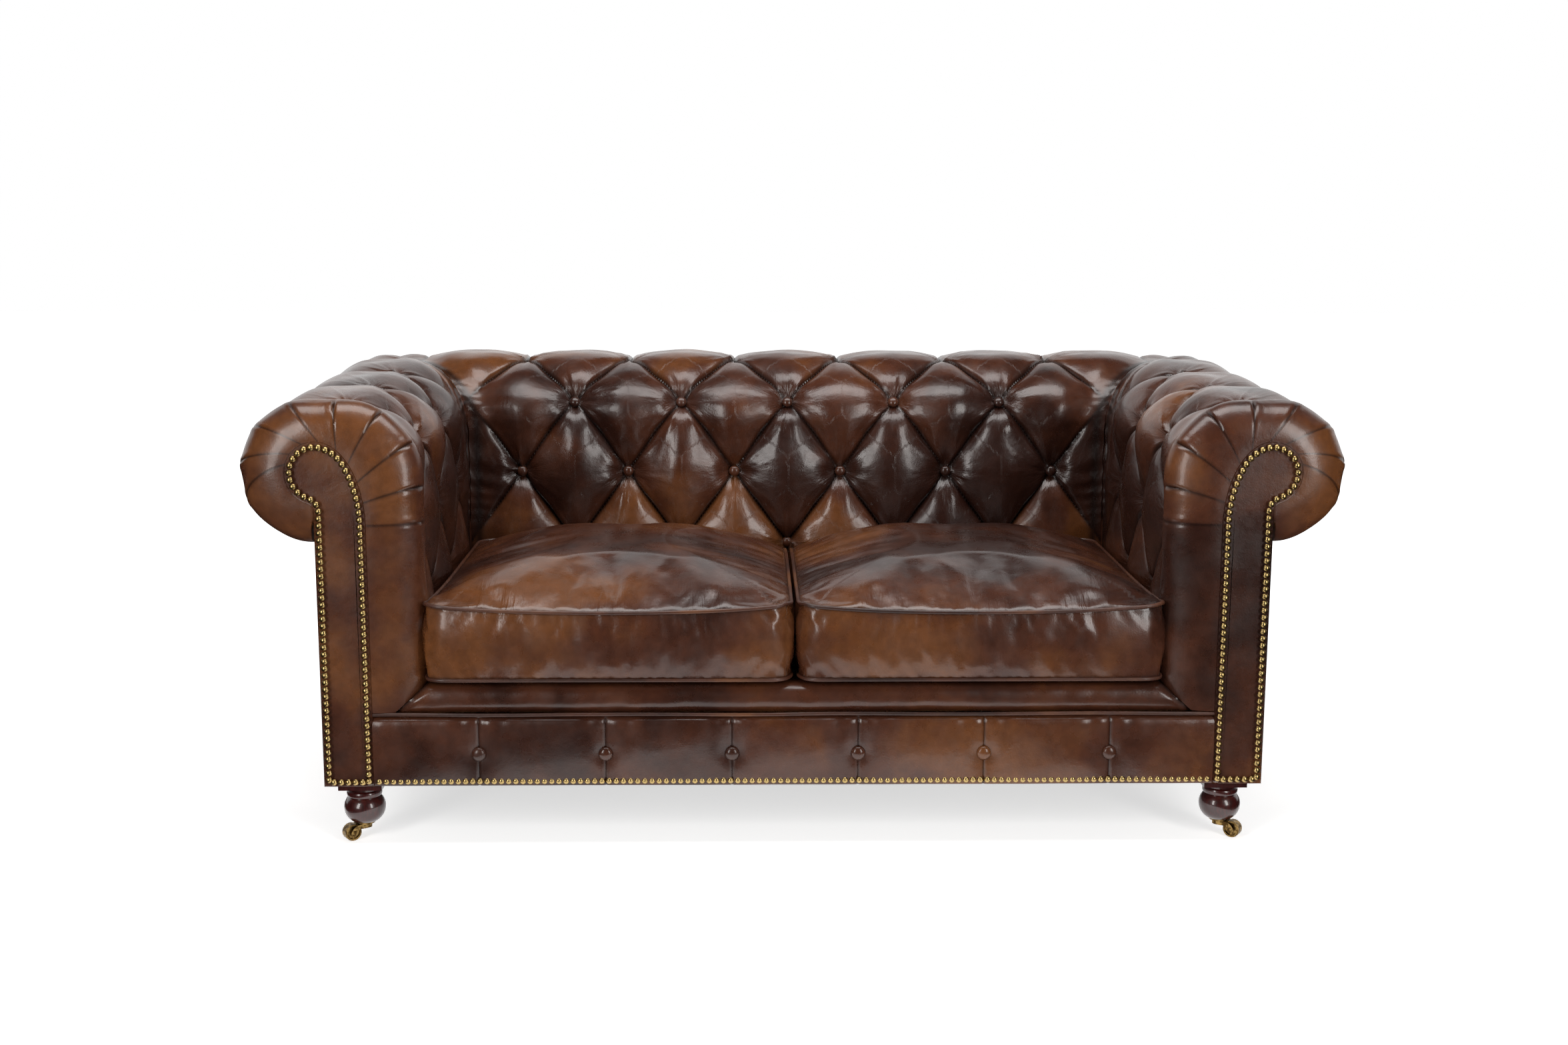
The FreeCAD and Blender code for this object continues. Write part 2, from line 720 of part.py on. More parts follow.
def make_roll_cores():
    """The timber rolls that the padding wraps: one in each arm and one along the back."""
    start = size("board_back_y")
    length = size("overall_depth")
    core = scroll_slice(start, length, size("scroll_shoulder_height"))
    core = core.common(mitre_side(1, True))
    shaped("arm_roll_right", core)
    shaped("arm_roll_left", mirrored(core))
    bottom = size("scroll_shoulder_height")
    face = Scroll().closed(bottom, lambda point: back_point(point, 0))
    half = size("overall_width") / 2
    face.translate(Vector(-half, 0, 0))
    core = face.extrude(Vector(2 * half, 0, 0))
    for _, sign in SIDES:
        core = core.common(mitre_side(sign, False))
    shaped("back_roll", core)


def make_frame():
    level = "sizes.rail_bottom_height"
    node(
        box(
            "front_rail", "2 * places.rail_half", "sizes.rail_thickness", "sizes.rail_height",
            "-places.rail_half", "places.rail_y", level,
        ),
        "front_rail",
    )
    node(
        box(
            "back_rail", "2 * places.rail_half", "sizes.rail_thickness", "sizes.rail_height",
            "-places.rail_half", "places.frame_back_y - sizes.rail_thickness", level,
        ),
        "back_rail",
    )
    node(
        box(
            "centre_brace", "sizes.brace_width",
            "places.frame_back_y - sizes.rail_thickness - places.rail_back_y",
            "sizes.brace_height", "-sizes.brace_width / 2", "places.rail_back_y", level,
        ),
        "centre_brace",
    )
    for side, sign in SIDES:
        node(
            box(
                f"side_rail_{side}", "sizes.rail_thickness",
                "places.corner_post_y - places.board_back_y", "sizes.rail_height",
                side_span(
                    sign, "places.frame_side - sizes.rail_thickness", "places.frame_side"
                ),
                "places.board_back_y", level,
            ),
            f"side_rail_{side}",
        )
        node(
            box(
                f"corner_post_{side}", "places.frame_side - places.scroll_inner",
                "places.frame_back_y - places.corner_post_y",
                "places.scroll_shoulder_height - sizes.rail_bottom_height",
                side_span(sign, "places.scroll_inner", "places.frame_side"),
                "places.corner_post_y", level,
            ),
            f"corner_post_{side}",
        )
        node(
            box(
                f"arm_lining_{side}", "sizes.lining_thickness",
                "places.corner_post_y - places.board_back_y",
                "places.scroll_shoulder_height - places.border_bottom",
                side_span(
                    sign, "places.scroll_inner", "places.scroll_inner + sizes.lining_thickness"
                ),
                "places.board_back_y", "places.border_bottom",
            ),
            f"arm_lining_{side}",
        )
        node(
            box(
                f"outside_arm_{side}", "sizes.panel_thickness",
                "places.back_panel_y - places.board_back_y",
                "places.roll_underside - sizes.rail_bottom_height",
                side_span(sign, "places.frame_side", "places.body_side"),
                "places.board_back_y", level,
            ),
            f"outside_arm_{side}",
        )
    node(
        box(
            "back_lining", "2 * places.scroll_inner", "sizes.lining_thickness",
            "places.scroll_shoulder_height - places.border_bottom", "-places.scroll_inner",
            "places.back_board_y", "places.border_bottom",
        ),
        "back_lining",
    )
    node(
        box(
            "outside_back", "2 * places.frame_side", "sizes.panel_thickness",
            "places.roll_underside - sizes.rail_bottom_height", "-places.frame_side",
            "places.frame_back_y", level,
        ),
        "outside_back",
    )
    make_dust_cover()
    make_uprights()
    make_corner_blocks()


def make_dust_cover():
    """Cloth under the whole frame, cut out round the front blocks and the rear legs."""
    gap = "sizes.seat_gap"
    half = "(places.frame_side - sizes.dust_cover_inset)"
    level = "sizes.rail_bottom_height - sizes.dust_cover_thickness"
    cloth = box(
        "dust_cloth", f"2 * {half}", "places.frame_back_y - places.rail_y",
        "sizes.dust_cover_thickness", f"-{half}", "places.rail_y", level,
    )
    notches = []
    for side, sign in SIDES:
        for name, wide, across, along in (
            ("block", "sizes.foot_block_side", "places.foot_x", "places.foot_y"),
            ("leg", "sizes.leg_top_side", "places.leg_x", "places.leg_y"),
        ):
            wide = f"({wide} + 2 * {gap})"
            notches.append(
                box(
                    f"{name}_notch_{side}", wide, wide, "sizes.dust_cover_thickness",
                    f"{sign} * {across} - {wide} / 2", f"{along} - {wide} / 2", level,
                )
            )
    joined = doc.addObject("Part::MultiFuse", "dust_notches")
    joined.Shapes = notches
    node(cut("dust_cover", cloth, joined), "dust_cover")


def make_uprights():
    """Uprights of the back, standing on the back rail between its springs."""
    bottom = size("rail_top")
    height = size("scroll_shoulder_height") - bottom
    depth = size("frame_back_y") - size("corner_post_y")
    springs = spring_places()
    between = [(here + following) / 2 for here, following in zip(springs, springs[1:])]
    uprights = []
    for along in between:
        if along not in (between[0], 0, between[-1]):
            continue
        corner = Vector(along - size("post_width") / 2, size("corner_post_y"), bottom)
        uprights.append(Part.makeBox(size("post_width"), depth, height, corner))
    shaped("back_uprights", Part.makeCompound(uprights))


def make_corner_blocks():
    """Three-cornered blocks glued into the corners of the seat frame."""
    leg = size("corner_block_leg")
    reach = size("rail_half")
    bottom = size("rail_bottom_height")
    blocks = []
    for sign in (-1, 1):
        for wall_y, inwards in (
            (size("rail_back_y"), 1),
            (size("frame_back_y") - size("rail_thickness"), -1),
        ):
            corner = Vector(sign * reach, wall_y, bottom)
            points = [
                corner,
                corner - Vector(sign * leg, 0, 0),
                corner + Vector(0, inwards * leg, 0),
            ]
            blocks.append(prism(points, Vector(0, 0, size("corner_block_height"))))
    shaped("corner_blocks", Part.makeCompound(blocks))


# Seat


def spring_shape(along):
    """One serpentine spring, from the front rail's clip to the back rail's."""
    half = size("spring_half_width")
    wave = size("spring_wave")
    start = size("rail_y") + size("rail_thickness") / 2
    end = size("frame_back_y") - size("rail_thickness") / 2
    count = int((end - start) / wave)
    step = (end - start) / count
    level = size("spring_level")
    radius = step / 2
    edges = []
    at = Vector(along, start, level)
    turn = 1
    reach = Vector(along + half - radius, start, level)
    edges.append(line(at, reach))
    for number in range(count):
        side = turn * (half - radius)
        middle_y = start + (number + 0.5) * step
        begin = Vector(along + side, start + number * step, level)
        outer = Vector(along + side + turn * radius, middle_y, level)
        finish = Vector(along + side, start + (number + 1) * step, level)
        edges.append(arc(begin, outer, finish))
        across = -side if number < count - 1 else 0.0
        edges.append(line(finish, Vector(along + across, finish.y, level)))
        turn = -turn
    path = Part.Wire(edges)
    ring = Part.Wire(Part.makeCircle(size("spring_wire_radius"), at, Vector(1, 0, 0)))
    return path.makePipeShell([ring], True, False)


def spring_places():
    reach = size("seat_width") / 2 - size("spring_half_width")
    count = int(2 * reach / size("spring_spacing"))
    return [(step - count / 2) * size("spring_spacing") for step in range(count + 1)]


def make_springs():
    shaped("seat_springs", Part.makeCompound([spring_shape(x) for x in spring_places()]))
    clips = []
    for along in spring_places():
        for middle_y in (
            size("rail_y") + size("rail_thickness") / 2,
            size("frame_back_y") - size("rail_thickness") / 2,
        ):
            corner = Vector(
                along - size("clip_width") / 2,
                middle_y - size("clip_length") / 2,
                size("rail_top"),
            )
            clips.append(
                Part.makeBox(
                    size("clip_width"), size("clip_length"), size("clip_thickness"), corner
                )
            )
    shaped("spring_clips", Part.makeCompound(clips))


def make_deck():
    """The padded platform under the cushions, resting on the springs."""
    gap = "sizes.seat_gap"
    node(
        box(
            "deck", f"places.seat_width - 2 * {gap}",
            f"places.back_face_y - places.border_back_y - 2 * {gap}",
            "places.border_top - places.deck_bottom", f"-places.seat_width / 2 + {gap}",
            f"places.border_back_y + {gap}", "places.deck_bottom",
        ),
        "deck",
    )


def make_border():
    """The padded lip in front of the deck, with a slanted seam at each end."""
    low = size("border_bottom")
    high = size("border_top")
    front = size("border_y")
    back = size("border_back_y")
    nose = size("border_nose_radius")
    slant = nose * math.sqrt(0.5)

    def at(depth, up):
        return Vector(0, depth, up)

    edges = [
        line(at(back, low), at(front + nose, low)),
        arc(
            at(front + nose, low),
            at(front + nose - slant, low + nose - slant),
            at(front, low + nose),
        ),
        line(at(front, low + nose), at(front, high - nose)),
        arc(
            at(front, high - nose),
            at(front + nose - slant, high - nose + slant),
            at(front + nose, high),
        ),
        line(at(front + nose, high), at(back, high)),
        line(at(back, high), at(back, low)),
    ]
    face = Part.Face(Part.Wire(edges))
    half = size("seat_width") / 2 + size("border_mitre_run")
    face.translate(Vector(-half, 0, 0))
    lip = face.extrude(Vector(2 * half, 0, 0))
    edge = size("seat_width") / 2
    for _, sign in SIDES:
        corners = [
            (edge + size("border_mitre_run"), low),
            (edge + 2 * size("border_mitre_run"), low),
            (edge + 2 * size("border_mitre_run"), high + 1),
            (edge - size("border_mitre_run") / size("border_height"), high + 1),
        ]
        points = [Vector(sign * across, front - 1, up) for across, up in corners]
        lip = lip.cut(prism(points, Vector(0, size("border_depth") + 2, 0)))
    shaped("seat_border", lip)


def make_rail_cover():
    node(
        box(
            "front_rail_cover", "2 * places.rail_half", "sizes.rail_cover_thickness",
            "sizes.rail_cover_height", "-places.rail_half", "places.rail_cover_y",
            "sizes.rail_bottom_height",
        ),
        "front_rail_cover",
    )
    piping = cylinder(
        "front_rail_piping", "sizes.piping_radius", "2 * places.rail_half",
        "-places.rail_half", "places.rail_cover_y + sizes.piping_radius",
        "places.rail_cover_top + sizes.piping_radius",
    )
    piping.Placement.Rotation = Rotation(Vector(0, 1, 0), 90)
    node(piping, "front_rail_piping")
    front = size("rail_cover_y")
    facing = Vector(0, -1, 0)
    reach = size("rail_half") - 2 * size("rail_button_radius")
    columns = button_columns(-reach, reach, size("button_pitch") / 2)
    buttons = [
        dome(
            size("rail_button_radius"), size("rail_button_height"),
            Vector(along, front, size("rail_button_level")), facing,
        )
        for along in columns
    ]
    shaped("front_rail_buttons", Part.makeCompound(buttons))


def nail(across, face_y, up):
    return dome(
        size("nail_radius"), size("nail_crown"), Vector(across, face_y, up), Vector(0, -1, 0)
    )


def make_nails():
    inset = size("nail_inset")
    level = size("rail_bottom_height") + inset
    reach = size("rail_half") - inset
    count = round(2 * reach / size("nail_pitch"))
    row = [
        nail(-reach + 2 * reach * step / count, size("rail_cover_y"), level)
        for step in range(count + 1)
    ]
    shaped("front_rail_nails", Part.makeCompound(row))
    face = Scroll(-inset).closed(level)
    edge = face.OuterWire
    count = round(edge.Length / size("nail_pitch"))
    points = edge.discretize(Number=count + 1)[:-1]
    heads = Part.makeCompound([nail(point.x, size("facing_y"), point.z) for point in points])
    shaped("facing_nails_right", heads)
    shaped("facing_nails_left", mirrored(heads))


# Seat cushions


def crown_edges(half_width, along, level, rise):
    """Three smooth arcs over a cushion's face, from its left edge to its right one."""
    reach = half_width * (1 - 2 * size("cushion_shoulder") / size("cushion_width"))
    up = rise * size("cushion_shoulder_share")
    lean = math.atan2(up, half_width - reach)
    ease = 2 * math.atan2(rise - up, reach)
    bulge = math.hypot(up, half_width - reach) / 2 * math.tan((lean - ease) / 2)
    side_x = (half_width + reach) / 2 + bulge * math.sin(lean)
    side_z = up / 2 + bulge * math.cos(lean)

    def at(across, height):
        return Vector(across, along, level + height)

    return [
        arc(at(-half_width, 0), at(-side_x, side_z), at(-reach, up)),
        arc(at(-reach, up), at(0, rise), at(reach, up)),
        arc(at(reach, up), at(side_x, side_z), at(half_width, 0)),
    ]


def cushion_section(along, half_width, levels, crown, belly):
    """A cross-section of a cushion at a place along Y: crown, boxing and underside."""
    low, high = levels
    middle = (low + high) / 2
    drawn_in = half_width - size("cushion_side_swell")
    left = arc(
        Vector(-half_width, along, low),
        Vector(-drawn_in, along, middle),
        Vector(-half_width, along, high),
    )
    right = arc(
        Vector(half_width, along, high),
        Vector(drawn_in, along, middle),
        Vector(half_width, along, low),
    )
    top = crown_edges(half_width, along, high, crown)
    base = crown_edges(half_width, along, low, -belly)
    return Part.Wire([left] + top + [right] + base[::-1])


def cushion_solid(inset):
    """A crowned cushion about X = 0, drawn in all round by an inset."""
    half = size("cushion_width") / 2 - inset
    front = size("cushion_y") + inset
    back = size("cushion_y") + size("cushion_depth") - inset
    low = size("cushion_low_pipe") + inset
    high = size("cushion_high_pipe") - inset
    corner = size("cushion_corner_radius") - inset
    cut_off = size("cushion_end_fullness")
    length = back - front
    wires = []
    turns = (0, 25, 50, 90)
    ends = [corner * (1 - math.cos(math.radians(turn))) for turn in turns]
    offsets = ends + [length * share for share in (0.25, 0.5, 0.75)]
    offsets += [length - end for end in reversed(ends)]
    for offset in offsets:
        edge = min(offset, length - offset)
        short = max(0.0, corner - edge)
        narrow = corner - math.sqrt(max(0.0, corner**2 - short**2))
        share = math.sin(math.pi * (cut_off + (1 - 2 * cut_off) * offset / length))
        rise = size("cushion_crown") * share ** size("cushion_fullness_power")
        drop = (size("cushion_belly") - inset) * share
        wires.append(cushion_section(front + offset, half - narrow, (low, high), rise, drop))
    return lofted(wires)


def piping_ring(level):
    """One piped edge of a cushion, laid round its boxing."""
    outside = size("piping_radius") + size("running_clearance")
    half = size("cushion_width") / 2 + outside
    front = size("cushion_y") - outside
    back = size("cushion_y") + size("cushion_depth") + outside
    radius = size("cushion_corner_radius") + outside
    slant = radius * (1 - math.sqrt(0.5))

    def at(across, depth):
        return Vector(across, depth, level)

    edges = [
        line(at(0, front), at(half - radius, front)),
        arc(at(half - radius, front), at(half - slant, front + slant), at(half, front + radius)),
        line(at(half, front + radius), at(half, back - radius)),
        arc(at(half, back - radius), at(half - slant, back - slant), at(half - radius, back)),
        line(at(half - radius, back), at(radius - half, back)),
        arc(at(radius - half, back), at(slant - half, back - slant), at(-half, back - radius)),
        line(at(-half, back - radius), at(-half, front + radius)),
        arc(at(-half, front + radius), at(slant - half, front + slant), at(radius - half, front)),
        line(at(radius - half, front), at(0, front)),
    ]
    path = Part.Wire(edges)
    ring = Part.makeCircle(size("piping_radius"), at(0, front), Vector(1, 0, 0))
    return path.makePipeShell([Part.Wire(ring)], True, False)


def make_cushions():
    outside = cushion_solid(0)
    wall = size("cushion_cover_thickness")
    cover = outside.cut(cushion_solid(wall))
    core = cushion_solid(wall + size("seat_gap"))
    piping = Part.makeCompound(
        [piping_ring(size("cushion_low_pipe")), piping_ring(size("cushion_high_pipe"))]
    )
    for side, sign in SIDES:
        move = Vector(sign * size("cushion_spacing") / 2, 0, 0)
        for name, shape in (("cover", cover), ("filling", core), ("piping", piping)):
            shaped(f"cushion_{name}_{side}", shape.translated(move))


# Feet and castors


def sketch_outline(body, plane_role, points, bulges):
    """A closed sketch on one of the body's own planes, each corner held by two distances.

    points are pairs of formulas; bulges gives the radius formula of an arc after a corner."""
    sketch = body.newObject("Sketcher::SketchObject", body.Name + "_outline")
    plane = [item for item in body.Origin.OriginFeatures if item.Role == plane_role][0]
    sketch.AttachmentSupport = (plane, "")
    sketch.MapMode = "FlatFace"
    values = [(number_of(across), number_of(up)) for across, up in points]
    total = len(points)
    for index, (start_x, start_y) in enumerate(values):
        end_x, end_y = values[(index + 1) % total]
        start = Vector(start_x, start_y, 0)
        end = Vector(end_x, end_y, 0)
        if index in bulges:
            formula, turn = bulges[index]
            sketch.addGeometry(bulging_arc(start, end, number_of(formula), turn), False)
        else:
            sketch.addGeometry(Part.LineSegment(start, end), False)
    hold_corners(sketch, points, values, bulges)
    return sketch


def number_of(formula):
    """The value of a formula written with sheet aliases."""
    probe.set("A1", "=" + formula)
    doc.recompute()
    return float(probe.get("A1"))


def bulging_arc(start, end, radius, turn):
    """An arc of a circle from start to end, to the left of the run when turn is 1."""
    half = (end - start) * 0.5
    rise = math.sqrt(max(0.0, radius**2 - half.Length**2))
    normal = Vector(-half.y, half.x, 0).normalize()
    centre = start + half + normal * (rise * turn)
    circle = Part.Circle(centre, Vector(0, 0, 1), radius)
    first = circle.parameter(start)
    last = circle.parameter(end)
    return Part.ArcOfCircle(circle, first, last) if turn > 0 else Part.ArcOfCircle(
        circle, last, first
    )


def hold_corners(sketch, points, values, bulges):
    total = len(points)

    def corner_of(index):
        geometry = sketch.Geometry[index]
        begins = geometry.StartPoint.distanceToPoint(Vector(*values[index], 0)) < 1e-4
        return (1, 2) if begins else (2, 1)

    for index, (across, up) in enumerate(points):
        first, last = corner_of(index)
        following = (index + 1) % total
        sketch.addConstraint(
            Sketcher.Constraint("Coincident", index, last, following, corner_of(following)[0])
        )
        for axis, formula, value in (("X", across, values[index][0]), ("Y", up, values[index][1])):
            if abs(value) < 1e-9:
                line_number = -2 if axis == "X" else -1
                sketch.addConstraint(
                    Sketcher.Constraint("PointOnObject", index, first, line_number)
                )
                continue
            number = sketch.addConstraint(
                Sketcher.Constraint(f"Distance{axis}", -1, 1, index, first, value)
            )
            sketch.setExpression(f"Constraints[{number}]", formula)
        if index in bulges:
            formula, _ = bulges[index]
            number = sketch.addConstraint(
                Sketcher.Constraint("Radius", index, number_of(formula))
            )
            sketch.setExpression(f"Constraints[{number}]", formula)


def turned(name, points, bulges):
    """A turned piece: an outline on the X-Z plane, revolved about the body's Z axis."""
    body = doc.addObject("PartDesign::Body", name)
    sketch = sketch_outline(body, "XZ_Plane", points, bulges)
    spin = body.newObject("PartDesign::Revolution", name + "_turning")
    spin.Profile = sketch
    spin.ReferenceAxis = (sketch, ["V_Axis"])
    spin.Angle = 360
    body.Tip = spin
    return body


def make_foot(side, sign):
    """A turned bun foot with a bore for the castor's stem."""
    bore = "sizes.stem_radius + sizes.running_clearance"
    base = "sizes.castor_height"
    top = "places.foot_top"
    bore_top = "places.horn_top + sizes.stem_length + sizes.seat_gap"
    ring_top = f"{top} - sizes.foot_neck_height"
    ring_bottom = f"{ring_top} - sizes.foot_ring_height"
    groove = "sizes.foot_ring_radius - sizes.foot_groove_depth"
    widest = f"({ring_bottom} + {base}) / 2"
    points = [
        (bore, base),
        ("sizes.foot_base_radius", base),
        ("sizes.foot_bun_radius", widest),
        (groove, ring_bottom),
        ("sizes.foot_ring_radius", f"{ring_bottom} + sizes.foot_groove_depth"),
        ("sizes.foot_ring_radius", f"{ring_top} - sizes.foot_groove_depth"),
        ("sizes.foot_neck_radius", ring_top),
        ("sizes.foot_neck_radius", top),
        ("0", top),
        ("0", bore_top),
        (bore, bore_top),
    ]
    bulges = {
        1: ("sizes.foot_lower_curve", 1),
        2: ("sizes.foot_upper_curve", 1),
        4: ("sizes.foot_ring_curve", 1),
    }
    foot = turned(f"bun_foot_{side}", points, bulges)
    place(foot, f"{sign} * places.foot_x", "places.foot_y")
    node(foot, f"bun_foot_{side}")


def make_foot_block(side, sign):
    block = box(
        f"foot_block_{side}", "sizes.foot_block_side", "sizes.foot_block_side",
        "sizes.foot_block_height", f"{sign} * places.foot_x - sizes.foot_block_side / 2",
        "places.foot_y - sizes.foot_block_side / 2", "places.foot_top",
    )
    node(block, f"foot_block_{side}")


def castor_turn(sign):
    """How a castor stands at rest: its wheel trails outwards and to the front."""
    yaw = size("castor_yaw")
    return Rotation(Vector(0, 0, 1), -yaw if sign > 0 else 180 + yaw)


def make_castor_plate(side, sign):
    base = "sizes.castor_height - sizes.castor_plate_thickness"
    x = f"{sign} * places.foot_x"
    disc = cylinder(
        f"castor_disc_{side}", "sizes.castor_plate_radius", "sizes.castor_plate_thickness",
        x, "places.foot_y", base,
    )
    bore = cylinder(
        f"castor_bore_{side}", "sizes.stem_radius + sizes.running_clearance",
        "sizes.castor_plate_thickness", x, "places.foot_y", base,
    )
    node(cut(f"castor_plate_{side}", disc, bore), f"castor_plate_{side}")


def make_castor_horn(side, sign):
    """The forked arm between the swivel axis and the axle, with its stem."""
    half = size("horn_half")
    top = size("horn_top")
    band = size("horn_band")
    trail = size("castor_trail")
    axle_up = size("wheel_radius")
    boss = size("horn_boss_radius")
    collar = size("horn_collar_radius")
    slant = math.sqrt(0.5)
    bend = trail + boss - collar
    drop = top - axle_up

    def at(across, up):
        return Vector(across, -half, up)

    low_bend = trail - boss - collar
    edges = [
        line(at(-collar, top), at(collar, top)),
        arc(
            at(collar, top),
            at(collar + bend * slant, axle_up + drop * slant),
            at(trail + boss, axle_up),
        ),
        arc(at(trail + boss, axle_up), at(trail, axle_up - boss), at(trail - boss, axle_up)),
        arc(
            at(trail - boss, axle_up),
            at(collar + low_bend * slant, axle_up + (drop - band) * slant),
            at(collar, top - band),
        ),
        line(at(collar, top - band), at(-collar, top - band)),
        line(at(-collar, top - band), at(-collar, top)),
    ]
    arms = Part.Face(Part.Wire(edges)).extrude(Vector(0, 2 * half, 0))
    slot_half = size("wheel_width") / 2 + size("wheel_side_gap")
    slot_start = trail - size("wheel_radius") - size("wheel_side_gap")
    slot = Part.makeBox(
        2 * trail, 2 * slot_half, 2 * top, Vector(slot_start, -slot_half, -top / 2)
    )
    hole = Part.makeCylinder(
        size("axle_radius"), 2 * half, Vector(trail, -half, axle_up), Vector(0, 1, 0)
    )
    waist = Part.makeCylinder(half, top, Vector(0, 0, 0), Vector(0, 0, 1))
    front = Part.makeBox(2 * trail, 2 * half, top, Vector(0, -half, 0))
    horn = arms.common(waist.fuse(front)).cut(slot).cut(hole)
    stem = Part.makeCylinder(size("stem_radius"), size("stem_length"), Vector(0, 0, top))
    horn = horn.fuse(stem)
    item = shaped(f"castor_horn_{side}", horn)
    turn_castor_part(item, sign)


def turn_castor_part(item, sign):
    item.Placement = Placement(
        Vector(sign * size("foot_x"), size("foot_y"), 0), castor_turn(sign)
    )


def make_castor_axle(side, sign):
    """A pin through the wheel, riveted over outside both arms."""
    half = size("horn_half")
    head = size("axle_head_height")
    start = Vector(size("castor_trail"), -half, size("wheel_radius"))
    along = Vector(0, 1, 0)
    pin = Part.makeCylinder(size("axle_radius"), 2 * half, start, along)
    caps = [
        Part.makeCone(size("axle_head_radius"), size("axle_radius"), head, start, -along),
        Part.makeCone(
            size("axle_head_radius"), size("axle_radius"), head, start + along * 2 * half, along
        ),
    ]
    item = shaped(f"castor_axle_{side}", pin.fuse(caps))
    turn_castor_part(item, sign)


def make_castor_wheel(side, sign):
    """A turned brass wheel, hollowed a little in each face."""
    half = "sizes.wheel_width / 2"
    web = f"{half} - sizes.wheel_web_recess"
    bore = "sizes.axle_radius + sizes.running_clearance"
    hub = "sizes.axle_head_radius + sizes.running_clearance"
    rim = "sizes.wheel_radius - sizes.wheel_rim_thickness"
    points = [
        (bore, f"-({half})"),
        (hub, f"-({half})"),
        (hub, f"-({web})"),
        (rim, f"-({web})"),
        (rim, f"-({half})"),
        ("sizes.wheel_radius", f"-({half})"),
        ("sizes.wheel_radius", half),
        (rim, half),
        (rim, web),
        (hub, web),
        (hub, half),
        (bore, half),
    ]
    wheel = turned(f"castor_wheel_{side}", points, {})
    turn = castor_turn(sign)
    centre = Vector(sign * size("foot_x"), size("foot_y"), 0)
    centre += turn.multVec(Vector(size("castor_trail"), 0, size("wheel_radius")))
    lie_down = Rotation(Vector(1, 0, 0), 90)
    wheel.Placement = Placement(centre, turn.multiply(lie_down))
    node(wheel, f"castor_wheel_{side}")


def make_rear_leg(side, sign):
    """A square leg that tapers to its glide."""
    leg = doc.addObject("Part::Wedge", f"rear_leg_{side}")
    foot = "sizes.leg_foot_side / 2"
    top = "sizes.leg_top_side / 2"
    bind(
        leg, Xmin=f"-({foot})", Xmax=foot, Zmin=f"-({foot})", Zmax=foot,
        X2min=f"-({top})", X2max=top, Z2min=f"-({top})", Z2max=top,
        Ymin="0", Ymax="sizes.rail_bottom_height - sizes.glide_height",
    )
    leg.Placement.Rotation = Rotation(Vector(1, 0, 0), 90)
    place(leg, f"{sign} * places.leg_x", "places.leg_y", "sizes.glide_height")
    node(leg, f"rear_leg_{side}")


def make_glides():
    discs = [
        Part.makeCylinder(
            size("glide_radius"), size("glide_height"),
            Vector(sign * size("leg_x"), size("leg_y"), 0),
        )
        for _, sign in SIDES
    ]
    shaped("rear_glides", Part.makeCompound(discs))


def make_feet():
    for side, sign in SIDES:
        make_foot_block(side, sign)
        make_foot(side, sign)
        make_castor_plate(side, sign)
        make_castor_horn(side, sign)
        make_castor_axle(side, sign)
        make_castor_wheel(side, sign)
        make_rear_leg(side, sign)
    make_glides()


def check_document():
    """Stops if any object failed or any piece has no sound shape."""
    for item in doc.Objects:
        if "Invalid" in item.State or "Error" in item.State:
            raise RuntimeError(f"{item.Label} could not be built: {item.State}")
    for item in nodes:
        if item.Shape.isNull() or not item.Shape.isValid():
            raise RuntimeError(f"{item.Label} has no valid shape")


def write_parts():
    os.makedirs("parts", exist_ok=True)
    for item in nodes:
        item.Shape.exportStep(f"parts/{item.Label}.step")
        print(item.Label, len(item.Shape.Solids), round(item.Shape.Volume))


make_frame()
make_roll_cores()
make_scroll_fronts()
make_padding()
make_springs()
make_deck()
make_border()
make_rail_cover()
make_nails()
make_cushions()
make_feet()
doc.recompute()
check_document()
write_parts()
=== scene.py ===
"""Upholstery, finishes and studio for a two-seat chesterfield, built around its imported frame."""

import json
import math

import bmesh
import bpy
import numpy as np
from mathutils import Matrix, Vector


